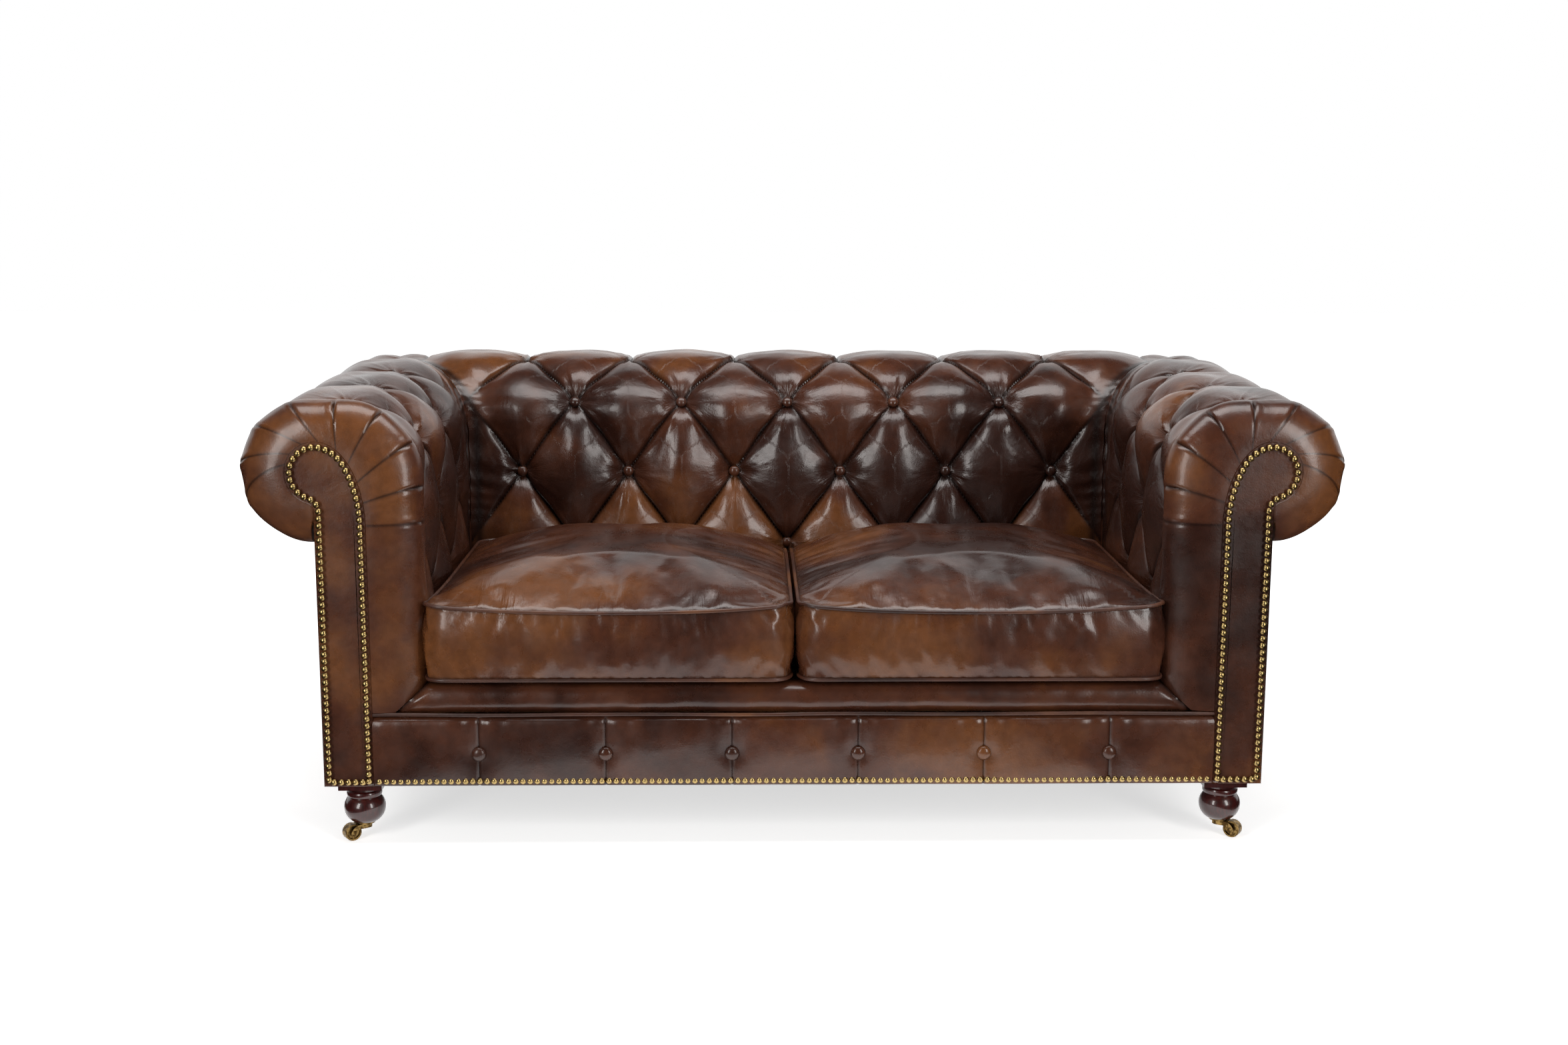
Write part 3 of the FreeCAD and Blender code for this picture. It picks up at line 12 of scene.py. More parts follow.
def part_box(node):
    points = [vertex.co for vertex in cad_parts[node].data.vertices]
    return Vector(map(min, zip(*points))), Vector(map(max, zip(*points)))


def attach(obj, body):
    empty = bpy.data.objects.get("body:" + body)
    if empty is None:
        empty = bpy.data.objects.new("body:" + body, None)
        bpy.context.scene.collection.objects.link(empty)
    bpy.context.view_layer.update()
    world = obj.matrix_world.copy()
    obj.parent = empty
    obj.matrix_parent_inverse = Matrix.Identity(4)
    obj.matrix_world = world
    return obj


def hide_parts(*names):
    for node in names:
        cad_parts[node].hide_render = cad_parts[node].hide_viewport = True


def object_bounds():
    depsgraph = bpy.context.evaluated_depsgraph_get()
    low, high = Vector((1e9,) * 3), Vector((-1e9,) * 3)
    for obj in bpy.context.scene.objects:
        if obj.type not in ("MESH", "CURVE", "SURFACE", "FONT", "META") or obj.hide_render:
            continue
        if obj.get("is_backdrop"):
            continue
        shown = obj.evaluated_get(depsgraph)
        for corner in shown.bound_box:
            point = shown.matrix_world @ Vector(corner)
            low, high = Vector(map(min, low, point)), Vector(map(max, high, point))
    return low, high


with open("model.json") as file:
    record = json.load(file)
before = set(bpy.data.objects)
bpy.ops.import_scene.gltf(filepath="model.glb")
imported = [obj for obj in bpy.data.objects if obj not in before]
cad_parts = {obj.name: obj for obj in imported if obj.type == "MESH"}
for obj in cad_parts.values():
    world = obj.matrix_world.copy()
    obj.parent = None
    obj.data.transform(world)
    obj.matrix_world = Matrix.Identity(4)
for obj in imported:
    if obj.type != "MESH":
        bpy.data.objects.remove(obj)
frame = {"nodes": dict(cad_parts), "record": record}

bl_info = {
    "name": "Chesterfield Upholstery",
    "version": (1, 0, 0),
    "blender": (4, 5, 0),
    "location": "View3D > Sidebar > Chesterfield",
    "description": "Dresses a chesterfield's frame in buttoned leather, piping, nails and castors",
    "category": "Object",
}

MM = 0.001
SIDES = (("left", -1), ("right", 1))

# The frame's own sizes, in millimetres
SEAT_WIDTH = 1210.0
SEAT_DEPTH = 640.0
ARM_WIDTH = 295.0
ARM_HEIGHT = 738.0
BACK_DEPTH = 340.0
FRONT_Y = -490.0
BACK_FACE_Y = 150.0
BODY_SIDE = 774.0
INNER_ROLL = 130.0
OUTER_ROLL = 115.0
ROLL_UNDERSIDE = 508.0
CREST_RISE = 17.0
LIP_BOTTOM = 221.3
LIP_TOP = 272.3
LIP_FRONT = -478.0
LIP_BACK = -396.0
LIP_NOSE = 24.0
LIP_SLANT = 58.0
BACK_SCALE = 1.1525
BUTTON_PITCH = 208.0
ROW_PITCH = 140.0
LOWEST_ROW = 390.0
FIRST_ARM_BUTTON = 98.0
ROWS = 4
FRONT_START = 7.5
FRONT_RADIUS = 55.0
SCROLL_INNER = 693.0
SCROLL_SHOULDER = 540.0
HEAD_X = 768.0
HEAD_Z = 625.0
HEAD_RADIUS = 50.5
NECK_RADIUS = 14.0
FACING_BACK = -478.8
RAIL_HALF = 692.7
RAIL_BOTTOM = 104.0
RAIL_TOP = 221.0
RAIL_FRONT = -483.0
RAIL_BACK = -469.0
RAIL_BUTTON_LEVEL = 158.0
CUSHION_HALF_WIDTH = 295.0
CUSHION_FRONT = -470.0
CUSHION_DEPTH = 606.0
CUSHION_SPACING = 604.0
CUSHION_LOW = 281.6
CUSHION_HIGH = 402.6
CUSHION_CORNER = 34.0

WALL = ARM_HEIGHT - INNER_ROLL - LIP_BOTTOM
FLAT = ARM_WIDTH - INNER_ROLL - OUTER_ROLL
ROW_RUNS = [LOWEST_ROW - LIP_BOTTOM + (ROWS - 1 - row) * ROW_PITCH for row in range(ROWS)]
TOTAL_RUN = WALL + FLAT + INNER_ROLL * math.pi / 2 + OUTER_ROLL * math.pi
MITRE = Vector((ARM_WIDTH, BACK_DEPTH)).normalized()


def linear(hex_colour):
    """An sRGB hex colour as the linear colour that a shader takes."""
    parts = [int(hex_colour[at : at + 2], 16) / 255 for at in (1, 3, 5)]
    return [part / 12.92 if part <= 0.04045 else ((part + 0.055) / 1.055) ** 2.4 for part in parts]


# Settings that a user would change


def length_setting(name, description, default, most):
    """A length that a user would change, with its default and its limit in millimetres."""
    return bpy.props.FloatProperty(
        name=name, description=description, default=default * MM, min=0, max=most * MM,
        subtype="DISTANCE", unit="LENGTH",
    )


class ChesterfieldSizes(bpy.types.PropertyGroup):
    pleat_depth: length_setting("Pleat depth", "How deep the diamonds' creases lie", 30, 40)
    button_sink: length_setting("Button sink", "How far a button lies below a crease", 9, 30)
    button_radius: length_setting("Button radius", "Radius of a covered button", 10.5, 20)
    wrinkle_height: length_setting("Wrinkle height", "Height of a button's gathers", 2.3, 5)
    piping_radius: length_setting("Piping radius", "Radius of the piped edges", 3.2, 8)
    cushion_crown: length_setting("Cushion crown", "A cushion's rise above its piping", 42, 120)


def colour_setting(name, description, hex_colour):
    """A colour that a user would change, with its default written as sRGB hex."""
    return bpy.props.FloatVectorProperty(
        name=name, description=description, default=linear(hex_colour),
        size=3, min=0, max=1, subtype="COLOR",
    )


class ChesterfieldColours(bpy.types.PropertyGroup):
    leather_dark: colour_setting("Leather, dark", "Deepest patches of the dye", "#2c160f")
    leather_main: colour_setting("Leather, main", "Most of the hide", "#482719")
    leather_cognac: colour_setting("Leather, cognac", "Places rubbed back to the base", "#6b401f")
    # Painted shade: the near-black that creases, seams and button pits are darkened towards
    leather_painted_shade: colour_setting("Leather, creases", "Dye gathered in the seams", "#120705")
    brass: colour_setting("Nail brass", "Antiqued domed nails", "#bca26c")
    # Tarnish of the castors, and tarnish with painted shade round a nail's rim
    brass_tarnish_and_shade: colour_setting("Nail rim", "Tarnish round a nail's edge", "#4a371c")
    castor: colour_setting("Castor brass", "Aged cast brass", "#a08452")
    mahogany: colour_setting("Foot lacquer", "Gloss mahogany lacquer on the feet", "#45100d")
    mahogany_dark: colour_setting("Foot grain", "Dark grain under the lacquer", "#2a0806")
    floor: colour_setting("Studio floor", "Pale studio floor", "#f4f4f4")


def sizes():
    return bpy.context.scene.chesterfield_sizes


def colours():
    return bpy.context.scene.chesterfield_colours


# The padding's outer contour and its buttoned surface; all in millimetres


def contour(run):
    """Distance out from the inner face, height and outward normal along the leather's run."""
    wall = np.minimum(run, WALL)
    turn_in = np.clip((run - WALL) / INNER_ROLL, 0, math.pi / 2)
    flat = np.clip(run - WALL - INNER_ROLL * math.pi / 2, 0, FLAT)
    turn_out = np.clip((run - WALL - INNER_ROLL * math.pi / 2 - FLAT) / OUTER_ROLL, 0, math.pi)
    across = INNER_ROLL * (1 - np.cos(turn_in)) + flat + OUTER_ROLL * np.sin(turn_out)
    up = LIP_BOTTOM + wall + INNER_ROLL * np.sin(turn_in) + OUTER_ROLL * (np.cos(turn_out) - 1)
    out_x = np.where(turn_out > 0, np.sin(turn_out), -np.cos(turn_in))
    out_z = np.where(turn_out > 0, np.cos(turn_out), np.sin(turn_in))
    return across, up, out_x, out_z


def raised(up, rise):
    return up + rise * np.clip((up - ROLL_UNDERSIDE) / (ARM_HEIGHT - ROLL_UNDERSIDE), 0, None)


def smooth(value, low, high):
    """0 below low, 1 above high and an even S between."""
    share = np.clip((value - low) / (high - low), 0, 1)
    return share * share * (3 - 2 * share)


def bell(value, width):
    return np.exp(-((value / width) ** 2))


def cell_number(a, b, seed):
    """A steady pseudo-random number from 0 to 1 for each whole-numbered cell."""
    mixed = np.sin(a * 127.1 + b * 311.7 + seed * 74.7) * 43758.5453
    return mixed - np.floor(mixed)


def drift(x, y, seed):
    """A slow uneven wave from -1 to 1, with a wavelength of about one unit."""
    turns = np.random.default_rng(seed).uniform(0, 2 * math.pi, (6, 2))
    total = 0
    for turn, phase in turns:
        total = total + np.sin(2 * math.pi * (x * math.cos(turn) + y * math.sin(turn)) + phase)
    return total / 3.2


def lattice(along, run):
    up = np.clip((ROW_RUNS[0] - run) / (2 * ROW_PITCH), 0, (ROWS - 1) / 2)
    across = along / BUTTON_PITCH
    return across + up, across - up, up


def gathered(along, run, warp):
    """The same places drawn closer to the creases, where the surface needs its detail."""
    p, q, up = lattice(along, run)

    def drawn(value):
        nearest = np.round(value)
        off = value - nearest
        return nearest + np.sign(off) * 0.5 * np.abs(2 * off) ** 1.22

    p_near = p + (drawn(p) - p) * warp
    q_near = q + (drawn(q) - q) * warp
    moved_along = (p_near + q_near) / 2 * BUTTON_PITCH
    moved_up = (p_near - q_near) / 2
    inside = (run < ROW_RUNS[0]) & (run > ROW_RUNS[-1])
    moved_run = np.where(inside, ROW_RUNS[0] - moved_up * 2 * ROW_PITCH, run)
    return moved_along, moved_run


def button_places(low, high):
    """Lattice places of the buttons, as (row, along) with along counted from a top-row button."""
    places = []
    for row in range(ROWS):
        shift = BUTTON_PITCH / 2 if row % 2 else 0.0
        first = math.ceil((low - shift) / BUTTON_PITCH)
        last = math.floor((high - shift) / BUTTON_PITCH)
        places += [(row, shift + BUTTON_PITCH * step) for step in range(first, last + 1)]
    return places


# A crease's folded edges, and how far from a button its gathers are drawn
FOLD_OVER = 1.3
FOLD_UNDER = 1.0
GATHER_REACH = 130


def tufting(along, run, places, seed, starts=-1e6):
    """How far the leather lies below its envelope, its crease shade and its pull at each place."""
    p, q, up = lattice(along, run)
    ridge = np.abs(np.sin(math.pi * p) * np.sin(math.pi * q))
    rows_in = 2 * np.minimum(up, (ROWS - 1) / 2 - up)
    over = np.clip((run - ROW_RUNS[0]) / (TOTAL_RUN - ROW_RUNS[0]), 0, 1)
    crest = smooth(run, ROW_RUNS[0] - 60, ROW_RUNS[0] + 20)
    full = ridge ** (0.34 + 0.28 * np.clip(rows_in, 0, 1) - 0.07 * crest)
    full = full * (1 + 0.10 * (cell_number(np.floor(p), np.floor(q), seed) - 0.5))
    buttoned = smooth(along, starts - 46, starts - 2)
    full = 1 - (1 - full) * buttoned
    slanted = math.hypot(1 / BUTTON_PITCH, 0.5 / ROW_PITCH)
    steep = np.where((up > 0) & (up < (ROWS - 1) / 2), slanted, 1 / BUTTON_PITCH)
    off_p = (p - np.round(p)) / steep
    off_q = (q - np.round(q)) / steep
    near = np.minimum(np.abs(off_p), np.abs(off_q))
    mid = np.abs(np.where(np.abs(off_p) < np.abs(off_q), off_q, off_p)) * steep * 2
    shallow = 1 - 0.16 * np.sin(math.pi * np.clip(mid, 0, 1)) ** 2 * (up > 0)
    low = sizes().pleat_depth / MM * (1 - full) * (1 - 0.38 * crest - 0.3 * over) * shallow
    # The upper side of each crease folds over the lower one
    sharp = (1 - 0.7 * over) * buttoned
    low -= FOLD_OVER * (bell(off_p + 6, 4.6) + bell(off_q - 6, 4.6)) * (near < 16) * sharp
    low += FOLD_UNDER * (bell(off_p - 3.5, 3.0) + bell(off_q + 3.5, 3.0)) * sharp
    shade = bell(near, 4.2) * buttoned
    pull = np.zeros(along.shape + (3,))
    pull_amount = np.zeros(along.shape)
    random = np.random.default_rng(seed)
    for row, place in places:
        count = random.integers(13, 19)
        turns = np.sort(random.uniform(0, 2 * math.pi, count))
        reach = random.uniform(22, 58, count)
        high = random.uniform(0.35, 1.0, count)
        wide = random.uniform(2.6, 4.6, count)
        side = along - place
        rise = run - ROW_RUNS[row]
        away = np.hypot(side, rise)
        here = away < GATHER_REACH
        a, b, r = side[here], rise[here], away[here]
        low[here] += sizes().button_sink / MM * bell(r, 21) * (0.5 if row == 0 else 1)
        fold = np.zeros(r.shape)
        if row == 1:
            # The gusset above is gathered into a fan of sharp folds
            fan = 0.5 + 0.5 * np.cos(9.5 * np.arctan2(a, np.maximum(b, 1)) + turns[0])
            fold += 0.9 * fan**2 * smooth(b, 3, 16) * bell(r - 30, 26) * bell(a, 24)
        for turn, length, tall, width in zip(turns, reach, high, wide):
            ahead = a * math.cos(turn) + b * math.sin(turn)
            beside = -a * math.sin(turn) + b * math.cos(turn)
            line = np.clip(ahead / 9, 0, 1) * np.exp(-np.clip(ahead, 0, None) / length)
            fold += tall * line * bell(beside, width) * (ahead > 0)
        height = 1.9 * sizes().wrinkle_height / MM
        low[here] -= height * fold * smooth(along[here], starts - 30, starts + 4)
        shade[here] = np.maximum(shade[here], 0.85 * bell(r, 13))
        strength = np.exp(-r / 40)
        better = strength > pull_amount[here]
        spots = np.flatnonzero(here)[better]
        safe = np.maximum(r[better], 1e-3)
        streak = np.stack([a[better] / safe, b[better] / safe, r[better] / 100], -1)
        pull.reshape(-1, 3)[spots] = streak
        pull_amount.reshape(-1)[spots] = strength[better]
    low += 1.1 * drift(along / 95, run / 80, seed + 5) * np.clip(full, 0, 1)
    return low, shade, pull, pull_amount


def diamond_tone(along, run, seed):
    """How far each diamond's dye is rubbed back: the lowest ones most, those above them least."""
    p, q, _ = lattice(along, run)
    level = np.clip(np.floor(p) - np.floor(q), 0, 3)
    tone = np.interp(level, (0, 1, 2, 3), (0.1, 0.1, -0.6, 0.55))
    return tone + 0.8 * (cell_number(np.floor(p), np.floor(q), seed) - 0.5)


def mitre_valley(low, shade, distance, run):
    """Draws the leather down to one shared line where the arm meets the back."""
    ease = bell(distance, 30)
    beside_button = 0.25 + 0.75 * bell(run - ROW_RUNS[2] - 10, 75)
    gathers = 1.7 * np.sin(run / 4.6 + 3.6 * np.sin(run / 37) + distance / 25)
    gathers = gathers * np.exp(-np.abs(distance) / 34) * beside_button
    gathers *= 1 - bell(distance, 4)
    low = low * (1 - ease) + 17 * ease + gathers * smooth(run, 150, 300)
    return low, np.maximum(shade, bell(distance, 7))


# Meshes


def row_stations(per_row, lowest, roll_step):
    """Runs of the leather from its bottom edge to its end, in even steps between the rows."""
    runs = list(np.linspace(0, ROW_RUNS[-1], lowest + 1))
    count = per_row * (ROWS - 1)
    runs += list(np.linspace(ROW_RUNS[-1], ROW_RUNS[0], count + 1))[1:]
    rest = TOTAL_RUN - ROW_RUNS[0]
    runs += list(np.linspace(ROW_RUNS[0], TOTAL_RUN, round(rest / roll_step) + 1))[1:]
    return np.array(runs)


def grid_mesh(columns, rows, crossing=None):
    """A bmesh grid and the whole-numbered column and row of each of its vertices."""
    bm = bmesh.new()
    bmesh.ops.create_grid(bm, x_segments=columns - 1, y_segments=rows - 1, size=0.5)
    bm.verts.ensure_lookup_table()
    spots = np.array([vert.co[:2] for vert in bm.verts])
    column = np.rint((spots[:, 0] + 0.5) * (columns - 1)).astype(int)
    row = np.rint((spots[:, 1] + 0.5) * (rows - 1)).astype(int)
    if crossing is not None:
        for face in list(bm.faces):
            corners = sorted(face.verts, key=lambda vert: (row[vert.index], column[vert.index]))
            at_column, at_row = column[corners[0].index], row[corners[0].index]
            pair = (1, 2) if crossing(at_column, at_row) else (0, 3)
            bmesh.utils.face_split(face, corners[pair[0]], corners[pair[1]])
    return bm, column, row


def set_places(bm, places):
    for vert, place in zip(bm.verts, places):
        vert.co = place


def add_layers(bm, values):
    for name, numbers in values.items():
        kinds = bm.verts.layers.float_vector if numbers.ndim == 2 else bm.verts.layers.float
        layer = kinds.new(name)
        for vert, number in zip(bm.verts, numbers):
            vert[layer] = number


def close_holes(bm):
    """Fills the open ends that are left and turns every face outwards."""
    edges = [edge for edge in bm.edges if edge.is_boundary]
    if edges:
        bmesh.ops.holes_fill(bm, edges=edges, sides=0)
    loose = [edge for edge in bm.edges if edge.is_boundary]
    if loose:
        bmesh.ops.edgenet_fill(bm, edges=loose)
    bmesh.ops.recalc_face_normals(bm, faces=bm.faces)


def weld_rows(bm, row, last):
    rims = [vert for vert in bm.verts if row[vert.index] in (0, last)]
    bmesh.ops.remove_doubles(bm, verts=rims, dist=1e-6)


def as_object(name, bm, sharp=40.0):
    """A finished, smooth-shaded object at the origin."""
    mesh = bpy.data.meshes.new(name)
    bm.to_mesh(mesh)
    bm.free()
    mesh.shade_smooth()
    mesh.set_sharp_from_angle(angle=math.radians(sharp))
    piece = bpy.data.objects.new(name, mesh)
    bpy.context.scene.collection.objects.link(piece)
    return piece


def finish(piece, body, slot, material, *nodes):
    """Joins a piece to its body, finish and the frame's nodes that it stands for; slot is not
    used.
    """
    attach(piece, body)
    if nodes:
        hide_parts(*nodes)
    piece.data.materials.clear()
    piece.data.materials.append(bpy.data.materials[material])


def upholster(piece, fill, *nodes, body="root"):
    """Finishes a piece in leather; fill, how tightly it is stuffed where it is padded, is not
    used.
    """
    finish(piece, body, "leather", "hand_rubbed_hide", *nodes)


def wire(bm, points):
    """Vertices at the points, with an edge from each to the next."""
    verts = [bm.verts.new(point) for point in points]
    return verts + [bm.edges.new(pair) for pair in zip(verts, verts[1:])]


def reflected(source, name):
    """The same mesh on the other side of the sofa."""
    bm = bmesh.new()
    bm.from_mesh(source.data)
    bmesh.ops.scale(bm, vec=(-1, 1, 1), verts=bm.verts)
    bmesh.ops.reverse_faces(bm, faces=bm.faces)
    return as_object(name, bm)


def tube(name, points, radius, closed, sides=10):
    """A round piping along points in millimetres."""
    curve = bpy.data.curves.new(name, "CURVE")
    curve.dimensions = "3D"
    spline = curve.splines.new("POLY")
    spline.points.add(len(points) - 1)
    for spot, place in zip(spline.points, points):
        spot.co = (*(np.array(place) * MM), 1)
    spline.use_cyclic_u = closed
    curve.bevel_depth = radius
    curve.bevel_resolution = sides // 2 - 1
    curve.use_fill_caps = not closed
    path = bpy.data.objects.new(name + "_path", curve)
    mesh = bpy.data.meshes.new_from_object(path)
    bpy.data.objects.remove(path)
    bm = bmesh.new()
    bm.from_mesh(mesh)
    bpy.data.meshes.remove(mesh)
    bmesh.ops.remove_doubles(bm, verts=bm.verts, dist=1e-6)
    close_holes(bm)
    return as_object(name, bm, 60)


# The scroll at the front of an arm


def scroll_over(grow, count=240):
    """Even points over the scroll's head, from the inner shoulder to the outer side's foot."""
    radius = HEAD_RADIUS + grow
    hollow = NECK_RADIUS - grow
    neck_turn = -math.acos((BODY_SIDE + grow + hollow - HEAD_X) / (radius + hollow))
    neck_x = HEAD_X + (radius + hollow) * math.cos(neck_turn)
    neck_z = HEAD_Z + (radius + hollow) * math.sin(neck_turn)
    arcs = (
        (HEAD_X, SCROLL_SHOULDER, SCROLL_INNER - grow - HEAD_X, HEAD_Z + radius - SCROLL_SHOULDER,
         np.linspace(0, math.pi / 2, 60)),
        (HEAD_X, HEAD_Z, radius, radius, np.linspace(math.pi / 2, neck_turn, 90)[1:]),
        (neck_x, neck_z, hollow, hollow, np.linspace(neck_turn + math.pi, math.pi, 20)[1:]),
    )
    path = [
        np.stack([x + wide * np.cos(turn), z + tall * np.sin(turn)], -1)
        for x, z, wide, tall, turn in arcs
    ]
    return evenly(np.concatenate(path), count)


def evenly(path, count):
    """The same line through a number of evenly spaced points."""
    steps = np.hypot(*np.diff(path, axis=0).T)
    gone = np.concatenate([[0], np.cumsum(steps)])
    wanted = np.linspace(0, gone[-1], count)
    return np.stack([np.interp(wanted, gone, path[:, axis]) for axis in (0, 1)], -1)


FRONT_RIM = 1.5
# Where each pleat of an arm's front starts at the scroll and ends on the roll, as runs
FRONT_PLEATS = (
    (395.0, 373.0), (466.0, 448.0), (534.0, 519.0), (593.5, 600.5),
    (660.0, 675.6), (715.0, 749.0), (768.0, 818.0), (805.0, 887.0),
)
FRONT_SEAM = 318.7
FIRST_OUTSIDE_PLEAT = 5


def front_edge(run, grow):
    """Places across and up along the scroll where the padding's front edge lies."""
    path = scroll_over(grow)
    shoulder = SCROLL_SHOULDER - LIP_BOTTOM
    share = np.clip((run - shoulder) / (TOTAL_RUN - shoulder), 0, 1) * (len(path) - 1)
    spot = np.arange(len(path))
    x = np.interp(share, spot, path[:, 0])
    z = np.interp(share, spot, path[:, 1])
    straight = run <= shoulder
    return np.where(straight, SCROLL_INNER - grow, x), np.where(straight, LIP_BOTTOM + run, z)


# Steps of the mesh from button to button, round the front and behind the leather
ARM_STEPS = 32
BACK_STEPS = 28
FRONT_STEPS = 26
INNER_ROWS = 26
PADDING_WALL = 44.0
RIM_WALL = 9
JOINT_GAP = 0.4 * MM
# How far from a slanted joint a gather's middle and a button stay
GATHER_CLEARANCE = 30
BUTTON_CLEARANCE = 36
BACK_CLEARANCE = 42
# How far the pleated front swells outwards and forwards
FRONT_SWELL = 4.5
FRONT_BULGE = 3.0
ARM_SEED = 11
BACK_SEED = 29
# An arm's bottom edge, and the level above which the seat doesn't lift it
LOWEST_EDGE = 228.2
HIGHEST_EDGE = 273.0
KNEE = 330.0


def padding_grid(stations, step, start, outer_runs):
    """A grid over the leather and its lining, its quads split along the creases."""
    row_total = len(outer_runs) + INNER_ROWS + 1

    def crossing(at_column, at_row):
        if at_row >= len(outer_runs) - 1:
            return False
        run = (outer_runs[at_row] + outer_runs[at_row + 1]) / 2
        p, q, _ = lattice(np.array(stations[at_column] + step / 2 - start), np.array(run))
        return abs(p - round(float(p))) < abs(q - round(float(q)))

    bm, column, row = grid_mesh(len(stations), row_total, crossing)
    inner_runs = np.linspace(TOTAL_RUN, 0, INNER_ROWS)
    all_runs = np.concatenate([outer_runs, inner_runs, outer_runs[:1]])
    is_inner = (row >= len(outer_runs)) & (row < row_total - 1)
    return bm, row, stations[column], all_runs[row], is_inner


def close_padding(bm, row, signs, kept):
    """Welds the padding's two layers and cuts it just short of its slanted joints."""
    weld_rows(bm, row, row.max())
    for sign in signs:
        corner = Vector((sign * SEAT_WIDTH / 2, BACK_FACE_Y, 0)) * MM
        across_joint = Vector((sign * MITRE.y, -MITRE.x, 0))
        bmesh.ops.bisect_plane(
            bm, geom=bm.verts[:] + bm.edges[:] + bm.faces[:], plane_no=across_joint,
            plane_co=corner + kept * across_joint * JOINT_GAP,
            clear_inner=kept > 0, clear_outer=kept < 0,
        )
    close_holes(bm)


def arm_mesh():
    """The right arm's buttoned padding with its pleated front, as one closed mesh."""
    step = BUTTON_PITCH / 2 / ARM_STEPS
    first = math.ceil((FRONT_START + FRONT_RADIUS + 1 - FIRST_ARM_BUTTON) / step)
    last = math.ceil((SEAT_DEPTH + BACK_DEPTH + 22 - FIRST_ARM_BUTTON) / step)
    behind = FIRST_ARM_BUTTON + step * np.arange(first, last + 1)
    turn = np.linspace(0, math.pi / 2, FRONT_STEPS + 1)
    stations = np.concatenate([FRONT_START + FRONT_RADIUS * (1 - np.cos(turn)), behind])
    outer_runs = row_stations(ARM_STEPS, lowest=16, roll_step=4.3)
    bm, row, deep, run, is_inner = padding_grid(stations, step, FIRST_ARM_BUTTON, outer_runs)
    turned = np.clip((deep - FRONT_START) / FRONT_RADIUS, 0, 1)
    growth = np.sqrt(np.clip(1 - (1 - turned) ** 2, 0, 1))
    # Rows of the front bend so that one of them lies along each pleat
    starts, ends = np.array([(0, 0), (FRONT_SEAM, FRONT_SEAM), *FRONT_PLEATS, (TOTAL_RUN,) * 2]).T
    nearest = np.array([outer_runs[np.argmin(np.abs(outer_runs - end))] for end in ends])
    in_front = 1 - smooth(deep, FRONT_RADIUS, FIRST_ARM_BUTTON + 10)
    snapped = np.interp(run, nearest, ends)
    share = 1 - np.clip(np.arcsin(np.clip(growth, 0, 1)) / (math.pi / 2), 0, 1)
    front_run = snapped + np.interp(snapped, ends, starts - ends) * share
    bent = np.where(is_inner, run, run + (front_run - run) * in_front)
    warp = smooth(deep, FIRST_ARM_BUTTON - 20, FIRST_ARM_BUTTON + 30) * ~is_inner
    along, run = gathered(deep - FIRST_ARM_BUTTON, bent, warp)
    deep = np.where(turned < 1, deep, along + FIRST_ARM_BUTTON)
    places = [
        place for place in button_places(-60, SEAT_DEPTH + BACK_DEPTH)
        if mitre_gap(*arm_button_spot(place)) > GATHER_CLEARANCE
    ]
    low, shade, pull, amount = tufting(along, run, places, ARM_SEED, 0.0)
    rise = CREST_RISE * np.clip(deep / SEAT_DEPTH, 0, 1)
    across, up, out_x, out_z = contour(run)
    distance = mitre_gap(SEAT_WIDTH / 2 + across, FRONT_Y + deep)
    low, shade = mitre_valley(low, shade, distance, run)
    low = low * growth + front_folds(share, snapped, ends)
    shade = np.maximum(shade * growth, pleat_shade(snapped, share))
    round_front = np.sin(math.pi * np.clip(share, 0, 1)) * smooth(run, 200, 330) * (turned < 1)
    low = np.where(is_inner, PADDING_WALL * growth, low - FRONT_SWELL * round_front)
    # Rubbed back on the front's pleats and darker towards the roll; low down inside the arm the
    # diamonds' tone is darkened as painted shade
    above_seam = smooth(run, FRONT_SEAM - 3, FRONT_SEAM + 8) * (1 - 0.6 * smooth(run, 780, 900))
    wear_and_shade = (0.1 + 0.55 * bell(share - 0.6, 0.3)) * in_front * above_seam
    tone = diamond_tone(along, run, ARM_SEED) * (1 - 0.6 * (run < 430))
    tone = tone - 0.5 * (1 - smooth(run, 380, 520))
    wear_and_shade = wear_and_shade + tone * (1 - in_front)
    edges = [front_edge(run, grow) for grow in (FRONT_RIM, FRONT_RIM - RIM_WALL)]
    edge_x, edge_z = np.where(is_inner, edges[1], edges[0])
    full_x = SEAT_WIDTH / 2 + across - low * out_x
    full_z = raised(up, rise) - low * out_z
    x = edge_x + (full_x - edge_x) * growth
    z = edge_z + (full_z - edge_z) * growth
    y = FRONT_Y + deep - FRONT_BULGE * round_front * ~is_inner
    # The bottom edge follows the slanted seam of the lip and clears the rail's piping
    slant = (SEAT_WIDTH / 2 + LIP_SLANT - x) / LIP_SLANT * (LIP_TOP - LIP_BOTTOM)
    bottom = np.clip(LIP_BOTTOM + slant, LOWEST_EDGE, HIGHEST_EDGE)
    squeezed = bottom + (z - LIP_BOTTOM) * (KNEE - bottom) / (KNEE - LIP_BOTTOM)
    z = np.where(z < KNEE, squeezed, z)
    set_places(bm, np.stack([x, y, z], -1) * MM)
    add_layers(bm, {"crease": shade, "pull": pull, "pull_amount": amount * growth, "wear_and_shade": wear_and_shade})
    close_padding(bm, row, (1,), 1)
    return bm


def mitre_gap(x, y):
    """Distance in front of the slanted joint between an arm and the back."""
    return (x - SEAT_WIDTH / 2) * MITRE.y - (y - BACK_FACE_Y) * MITRE.x


def arm_button_spot(place):
    row, along = place
    across, _, _, _ = contour(np.array(ROW_RUNS[row]))
    return SEAT_WIDTH / 2 + float(across), FRONT_Y + along + FIRST_ARM_BUTTON


